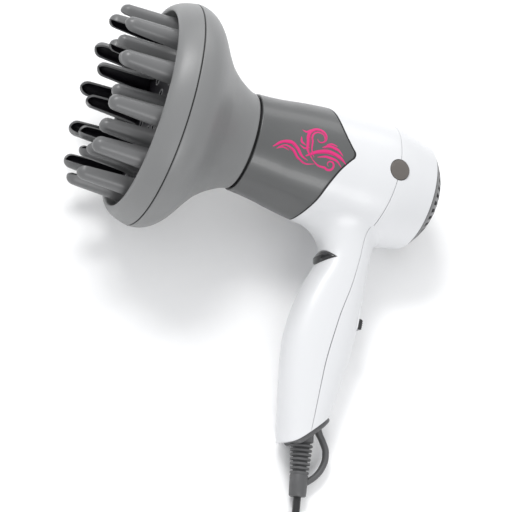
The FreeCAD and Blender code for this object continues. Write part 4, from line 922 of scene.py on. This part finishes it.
def build_vent_rims():
    """Fine raised rims round the finger plate's vents."""
    parts = []
    turn = ring_angles(28)
    around = ring_angles(8)
    for ring, hole, count in VENT_ROWS[:3]:
        for index in range(count):
            angle = math.pi / count + 2 * math.pi * index / count
            middle = np.array([PLATE, -ring * math.sin(angle), ring * math.cos(angle)])
            reach = hole + 0.25 + 0.35 * np.cos(around)
            x = -0.35 * np.sin(around)[None, :] + 0 * turn[:, None]
            grid = middle + xyz(x, reach[None, :] * np.cos(turn)[:, None],
                                reach[None, :] * np.sin(turn)[:, None])
            parts.append(surface("vent_rim_part", grid, round_rows=True, round_columns=True))
    made = join_pieces("vent_rims", parts)
    dress(made, "diffuser_grey", "diffuser")


# ---------------------------------------------------------------- strain relief

LEAN = math.radians(6.5)
RELIEF_START = np.array([77.0, 0.0, -167.0])
RELIEF_RUN = np.array([math.sin(LEAN), 0.0, -math.cos(LEAN)])
RELIEF_LENGTH = 38.5
RIBS = 7
RIB_START = 6.0
RIB_PITCH = 2.7
RIB_DEEP = 1.7


def build_relief():
    """A ribbed taper in rubber, the flange on the handle's cut end and the hanging loop."""
    profile = [(-3.0, 6.9), (3.5, 7.1), (RIB_START - 0.5, 7.1)]
    for index in range(RIBS):
        along = RIB_START + index * RIB_PITCH
        radius = 7.1 - 1.35 * (index + 1) / RIBS
        low = radius - RIB_DEEP
        profile += [(along, low + 0.35), (along + 0.25, low), (along + 0.85, low), (along + 1.1, low + 0.35),
                    (along + 1.2, radius - 0.25), (along + 1.45, radius), (along + RIB_PITCH - 0.35, radius),
                    (along + RIB_PITCH - 0.08, radius - 0.25)]
    tail = RIB_START + RIBS * RIB_PITCH
    profile += [(tail + 0.3, 5.2), (tail + 1.2, 5.6), (RELIEF_LENGTH - 3.0, 5.35), (RELIEF_LENGTH - 0.7, 5.2),
                (RELIEF_LENGTH - 0.1, 4.6), (RELIEF_LENGTH, 3.4), (RELIEF_LENGTH - 0.4, 2.3),
                (RELIEF_LENGTH - 6.0, 2.3), (RELIEF_LENGTH - 6.0, 0.0)]
    profile = np.array([(-3.0, 0.0)] + profile)
    turn = ring_angles(64)
    side = np.array([0.0, 1.0, 0.0])
    lift = np.cross(RELIEF_RUN, side)
    grid = (RELIEF_START + profile[:, None, :1] * RELIEF_RUN
            + profile[:, None, 1:] * (np.cos(turn)[:, None] * side + np.sin(turn)[:, None] * lift))
    made = surface("relief_sleeve", grid, round_columns=True, sharp=55)
    dress(made, "relief_rubber", "root", replaced=["strain_relief"])

    turn = ring_angles(96)
    rows = []
    for rise, draw in ((0.0, 0.0), (0.0, 0.93), (1.9, 0.93), (2.6, 0.9), (3.0, 0.84), (3.0, 0.0)):
        depth = np.full(96, 167.0)
        for _ in range(10):
            x, y = section_across(depth, turn)
            depth = 0.5 * depth + 0.5 * (167.0 - (x - END_POINT[0]))
        x = END_POINT[0] + 1.3 + (np.clip(x, 69.8, None) - END_POINT[0] - 1.3) * draw
        y = y * draw
        z = -(167.0 - (x - END_POINT[0]))
        rows.append(xyz(x + rise * math.sqrt(0.5), y, z - rise * math.sqrt(0.5)))
    made = surface("relief_flange", np.stack(rows), round_columns=True, sharp=50)
    dress(made, "relief_rubber", "root")

    knots = np.array([(85.0, -160.8), (87.6, -164.6), (91.6, -169.8), (94.2, -174.4), (94.9, -179.4),
                      (93.6, -185.2), (90.6, -190.6), (86.6, -194.6), (82.0, -197.6)])
    pace = np.concatenate([[0], np.cumsum(np.linalg.norm(np.diff(knots, axis=0), axis=1))])
    at = np.linspace(0, pace[-1], 60)
    path = xyz(through(pace, knots[:, 0], at), 0.0, through(pace, knots[:, 1], at))
    swell = 1 + 0.35 * np.exp(-(at / 4.0) ** 2) + 0.3 * np.exp(-((pace[-1] - at) / 4.0) ** 2)
    section = ring_section(2.5, 1.85, 24, 2.4)[None] * swell[:, None, None]
    grid = sweep_grid(path, section)
    first, last = (np.broadcast_to(path[end], grid[0].shape)[None] for end in (0, -1))
    made = surface("hanging_loop_band", np.concatenate([first, grid, last]), round_columns=True, sharp=60)
    dress(made, "relief_rubber", "root")


# ---------------------------------------------------------------- cord, coil and plug

CORD_RADIUS = 2.4
LEAD_ROUTE = [(58.5, -149.5, 2.45), (59.9, -166.0, 2.4), (59.6, -186.3, 2.4), (58.5, -206.0, 2.4)]
TAIL_ROUTE = [(22.5, -242.0, 7.25), (8.5, -242.6, 6.6), (-7.0, -241.0, 3.6), (-21.0, -238.2, 2.4),
              (-34.0, -237.8, 2.45), (-46.0, -239.4, 4.55)]
COIL_MIDDLE = (22.5, -206.0)
COIL_RADII = (36.0, 31.15, 26.3, 21.45, 21.45, 26.3, 31.15, 36.0, 36.0)
COIL_LAYER = 4.85
COIL_STEPS = 16
COIL_RAMP = 0.28


def coil_points():
    """Turns of the coil, clockwise: four outward to inward on the table, four back on top, then a quarter."""
    points = []
    bulge = 1 / 0.985
    for step in range(1, int(8.25 * COIL_STEPS)):
        turns = step / COIL_STEPS
        index = int(turns)
        ramp = np.clip((turns - index - 1 + COIL_RAMP) / COIL_RAMP, 0, 1)
        ramp = ramp * ramp * (3 - 2 * ramp)
        now, after = COIL_RADII[index], COIL_RADII[min(index + 1, 8)]
        radius = (now + (after - now) * ramp) * bulge
        layer = 1.0 if index > 3 else (ramp if index == 3 else 0.0)
        angle = -2 * math.pi * turns
        points.append((COIL_MIDDLE[0] + radius * math.cos(angle), COIL_MIDDLE[1] + radius * math.sin(angle),
                       CORD_RADIUS + COIL_LAYER * layer))
    return points


def build_cord():
    exit_point = place(RELIEF_START + RELIEF_RUN * RELIEF_LENGTH)
    route = LEAD_ROUTE + coil_points() + TAIL_ROUTE
    points = [tuple(exit_point)] + [tuple(value * MM for value in point) for point in route]
    curve = bpy.data.curves.new("mains_cord", "CURVE")
    curve.dimensions = "3D"
    line = curve.splines.new("NURBS")
    line.points.add(len(points) - 1)
    for knot, point in zip(line.points, points):
        knot.co = (*point, 1.0)
    line.order_u = 3
    line.use_endpoint_u = True
    line.resolution_u = 6
    curve.bevel_depth = CORD_RADIUS * MM
    curve.bevel_resolution = 5
    curve.use_fill_caps = True
    made = bpy.data.objects.new("mains_cord", curve)
    bpy.context.scene.collection.objects.link(made)
    made.data.materials.append(FINISH["cord_black"])
    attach(made, "root")
    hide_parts("cord_lead", "cord_coil", "cord_tail")
    plug = build_plug()
    tie = build_tie()


def row_surface(name, grid, **how):
    """A surface whose grid is given in row-frame millimetres."""
    own = (np.asarray(grid, float) * MM - START) @ AXES.T / MM
    return surface(name, own, **how)


def build_tie():
    """A hook-and-loop band round the coil's section."""
    turn = math.radians(62.0)
    outward = np.array([math.cos(turn), math.sin(turn), 0.0])
    side = np.array([-math.sin(turn), math.cos(turn), 0.0])
    inner, outer, high = 21.45 - 2.4 - 0.3, 36.0 + 2.4 + 0.3, 10.0
    middle = np.array([(inner + outer) / 2, high / 2])
    loop = ring_section((outer - inner) / 2, high / 2, 72, 6.0) + middle
    run = np.roll(loop, -1, axis=0) - np.roll(loop, 1, axis=0)
    run /= np.linalg.norm(run, axis=1, keepdims=True)
    square = np.stack([run[:, 1], -run[:, 0]], 1)
    band = ring_section(3.0, 0.26, 16, 4.0)
    lift = loop[:, None, :] + square[:, None, :] * (band[None, :, 1:] - 0.05)
    grid = (np.array([COIL_MIDDLE[0], COIL_MIDDLE[1], 0.05]) + lift[..., :1] * outward
            + lift[..., 1:] * np.array([0.0, 0.0, 1.0]) + band[None, :, :1] * side)
    grid[..., 2] = np.clip(grid[..., 2], 0.02, None)
    made = row_surface("coil_tie", grid, round_rows=True, round_columns=True)
    return dress(made, "tie_black", "root", replaced=["cord_tie"])


PLUG_LENGTH = [0.0, 12.0, 20.0, 29.0, 36.0, 44.0]
PLUG_WIDE = [4.6, 5.2, 9.5, 15.0, 17.2, 17.2]
PLUG_THICK = [4.6, 5.2, 7.4, 10.2, 12.2, 12.2]


def build_plug():
    """A two-pole plug: a waisted grip from the cord to a flat face, and two part-sleeved pins."""
    turn = math.radians(187.0)
    lift = math.atan2(PLUG_THICK[4] - PLUG_THICK[0], PLUG_LENGTH[4])
    run = np.array([math.cos(turn) * math.cos(lift), math.sin(turn) * math.cos(lift), math.sin(lift)])
    side = np.array([-math.sin(turn), math.cos(turn), 0.0])
    high = np.cross(run, side)
    if high[2] < 0:
        high = -high
    start = np.array(TAIL_ROUTE[-1])
    at = np.concatenate([np.linspace(0, 42.8, 46), 42.8 + 1.2 * np.sin(np.linspace(0, math.pi / 2, 6))[1:]])
    ease = np.where(at > 42.8, 1.2 * (1 - np.sqrt(np.clip(1 - ((at - 42.8) / 1.2) ** 2, 0, 1))), 0)
    wide = through(PLUG_LENGTH, PLUG_WIDE, at) - ease
    thick = through(PLUG_LENGTH, PLUG_THICK, at) - ease
    ribs = 0.35 * np.cos((at - 14.0) * 2 * math.pi / 2.6) * ((at > 13) & (at < 27))
    rows = []
    for along, w, t, rib in zip(at, wide, thick, ribs):
        section = ring_section(w - 0.4 + min(rib, 0), t - 0.4 + min(rib, 0), 64, 2.6)
        rows.append(start + run * along + section[:, :1] * side + section[:, 1:] * high)
    first = np.broadcast_to(start, rows[0].shape)
    last = np.broadcast_to(start + run * 44.0, rows[0].shape)
    body = row_surface("plug_grip", np.stack([first] + rows + [last]), round_columns=True)
    dress(body, "cord_black", "root", replaced=["plug_body"])
    pieces = [body]
    around = ring_angles(40)
    for index, off in enumerate((-9.5, 9.5)):
        base = start + run * 43.8 + side * off
        for part, finish, profile in (
                ("sleeve", "cord_black", [(0, 0), (0, 2.4), (9.6, 2.4), (9.8, 2.2), (9.8, 0)]),
                ("metal", "pin_nickel",
                 [(9.7, 0), (9.7, 2.3), (17.4, 2.3), (18.4, 2.0), (19.0, 1.3), (19.2, 0)])):
            profile = np.array(profile, float)
            spoke = np.cos(around)[:, None] * side + np.sin(around)[:, None] * high
            grid = base + profile[:, None, :1] * run + profile[:, None, 1:] * spoke
            made = row_surface("pin_%s_%d" % (part, index), grid, round_columns=True, sharp=50)
            replaced = ["plug_pins"] if part == "metal" else []
            pieces.append(dress(made, finish, "root", replaced=replaced))
    return pieces


# ---------------------------------------------------------------- stage, light and camera

def build_stage():
    size = 3.0
    grid = np.array([[[-size, -size, 0], [-size, size, 0]], [[size, -size, 0], [size, size, 0]]])
    floor = mesh_object("floor", grid.reshape(-1, 3), np.array([[0, 2, 3, 1]]))
    paper = bpy.data.materials.new("pale paper")
    paper.use_nodes = True
    tree = paper.node_tree
    shader = tree.nodes["Principled BSDF"]
    shader.inputs["Roughness"].default_value = 0.9
    shader.inputs["Specular IOR Level"].default_value = 0.1
    where = tree.nodes.new("ShaderNodeTexCoord")
    fibre = node(tree, "ShaderNodeTexNoise", Scale=120.0, Detail=5.0)
    tree.links.new(where.outputs["Object"], fibre.inputs["Vector"])
    tone = tree.nodes.new("ShaderNodeMapRange")
    tone.inputs["To Min"].default_value = 0.93
    tone.inputs["To Max"].default_value = 0.96
    tree.links.new(fibre.outputs["Fac"], tone.inputs["Value"])
    tree.links.new(tone.outputs["Result"], shader.inputs["Base Color"])
    floor.data.materials.append(paper)

    world = bpy.data.worlds.new("studio")
    bpy.context.scene.world = world
    world.use_nodes = True
    world.node_tree.nodes["Background"].inputs["Color"].default_value = (0.97, 0.98, 1.0, 1)
    world.node_tree.nodes["Background"].inputs["Strength"].default_value = 0.78
    bpy.context.scene.view_settings.view_transform = "Standard"


def soft_light(name, position, aim, width, power):
    lamp = bpy.data.lights.new(name, "AREA")
    lamp.shape = "RECTANGLE"
    lamp.size = width
    lamp.size_y = width * 0.6
    lamp.energy = power
    made = bpy.data.objects.new(name, lamp)
    made.location = position
    made.rotation_euler = (Vector(aim) - Vector(position)).to_track_quat("-Z", "Y").to_euler()
    bpy.context.scene.collection.objects.link(made)


CAMERA_AT = (-0.116998, -0.395294, 0.832175)
CAMERA_LOOK = (0.139707, 0.441736, -0.886200)
CAMERA_UP = (-0.200182, 0.889097, 0.411622)
CAMERA_ANGLE = math.radians(20.0)


def build_camera():
    lens = bpy.data.cameras.new("camera")
    lens.angle = CAMERA_ANGLE
    lens.clip_start = 0.02
    made = bpy.data.objects.new("camera", lens)
    look = Vector(CAMERA_LOOK).normalized()
    right = look.cross(Vector(CAMERA_UP)).normalized()
    up = right.cross(look)
    made.matrix_world = Matrix((
        (right.x, up.x, -look.x, CAMERA_AT[0]),
        (right.y, up.y, -look.y, CAMERA_AT[1]),
        (right.z, up.z, -look.z, CAMERA_AT[2]),
        (0, 0, 0, 1)))
    bpy.context.scene.collection.objects.link(made)
    bpy.context.scene.camera = made


build_camera()
build_stage()
soft_light("key", (-0.35, 0.5, 0.95), (0, 0, 0.05), 0.45, 6.5)
soft_light("low front", (0.2, -0.85, 0.55), (0.03, 0.04, 0.07), 0.5, 3.2)
soft_light("back", (0.2, 0.9, 0.5), (0, 0, 0.05), 0.6, 1.5)
build_cord()
build_sleeve()
build_trim()
build_scroll()
build_shells()
build_recess()
build_button()
build_knobs()
build_caps()
build_dome()
build_diffuser()
build_fingers()
build_vent_rims()
build_relief()
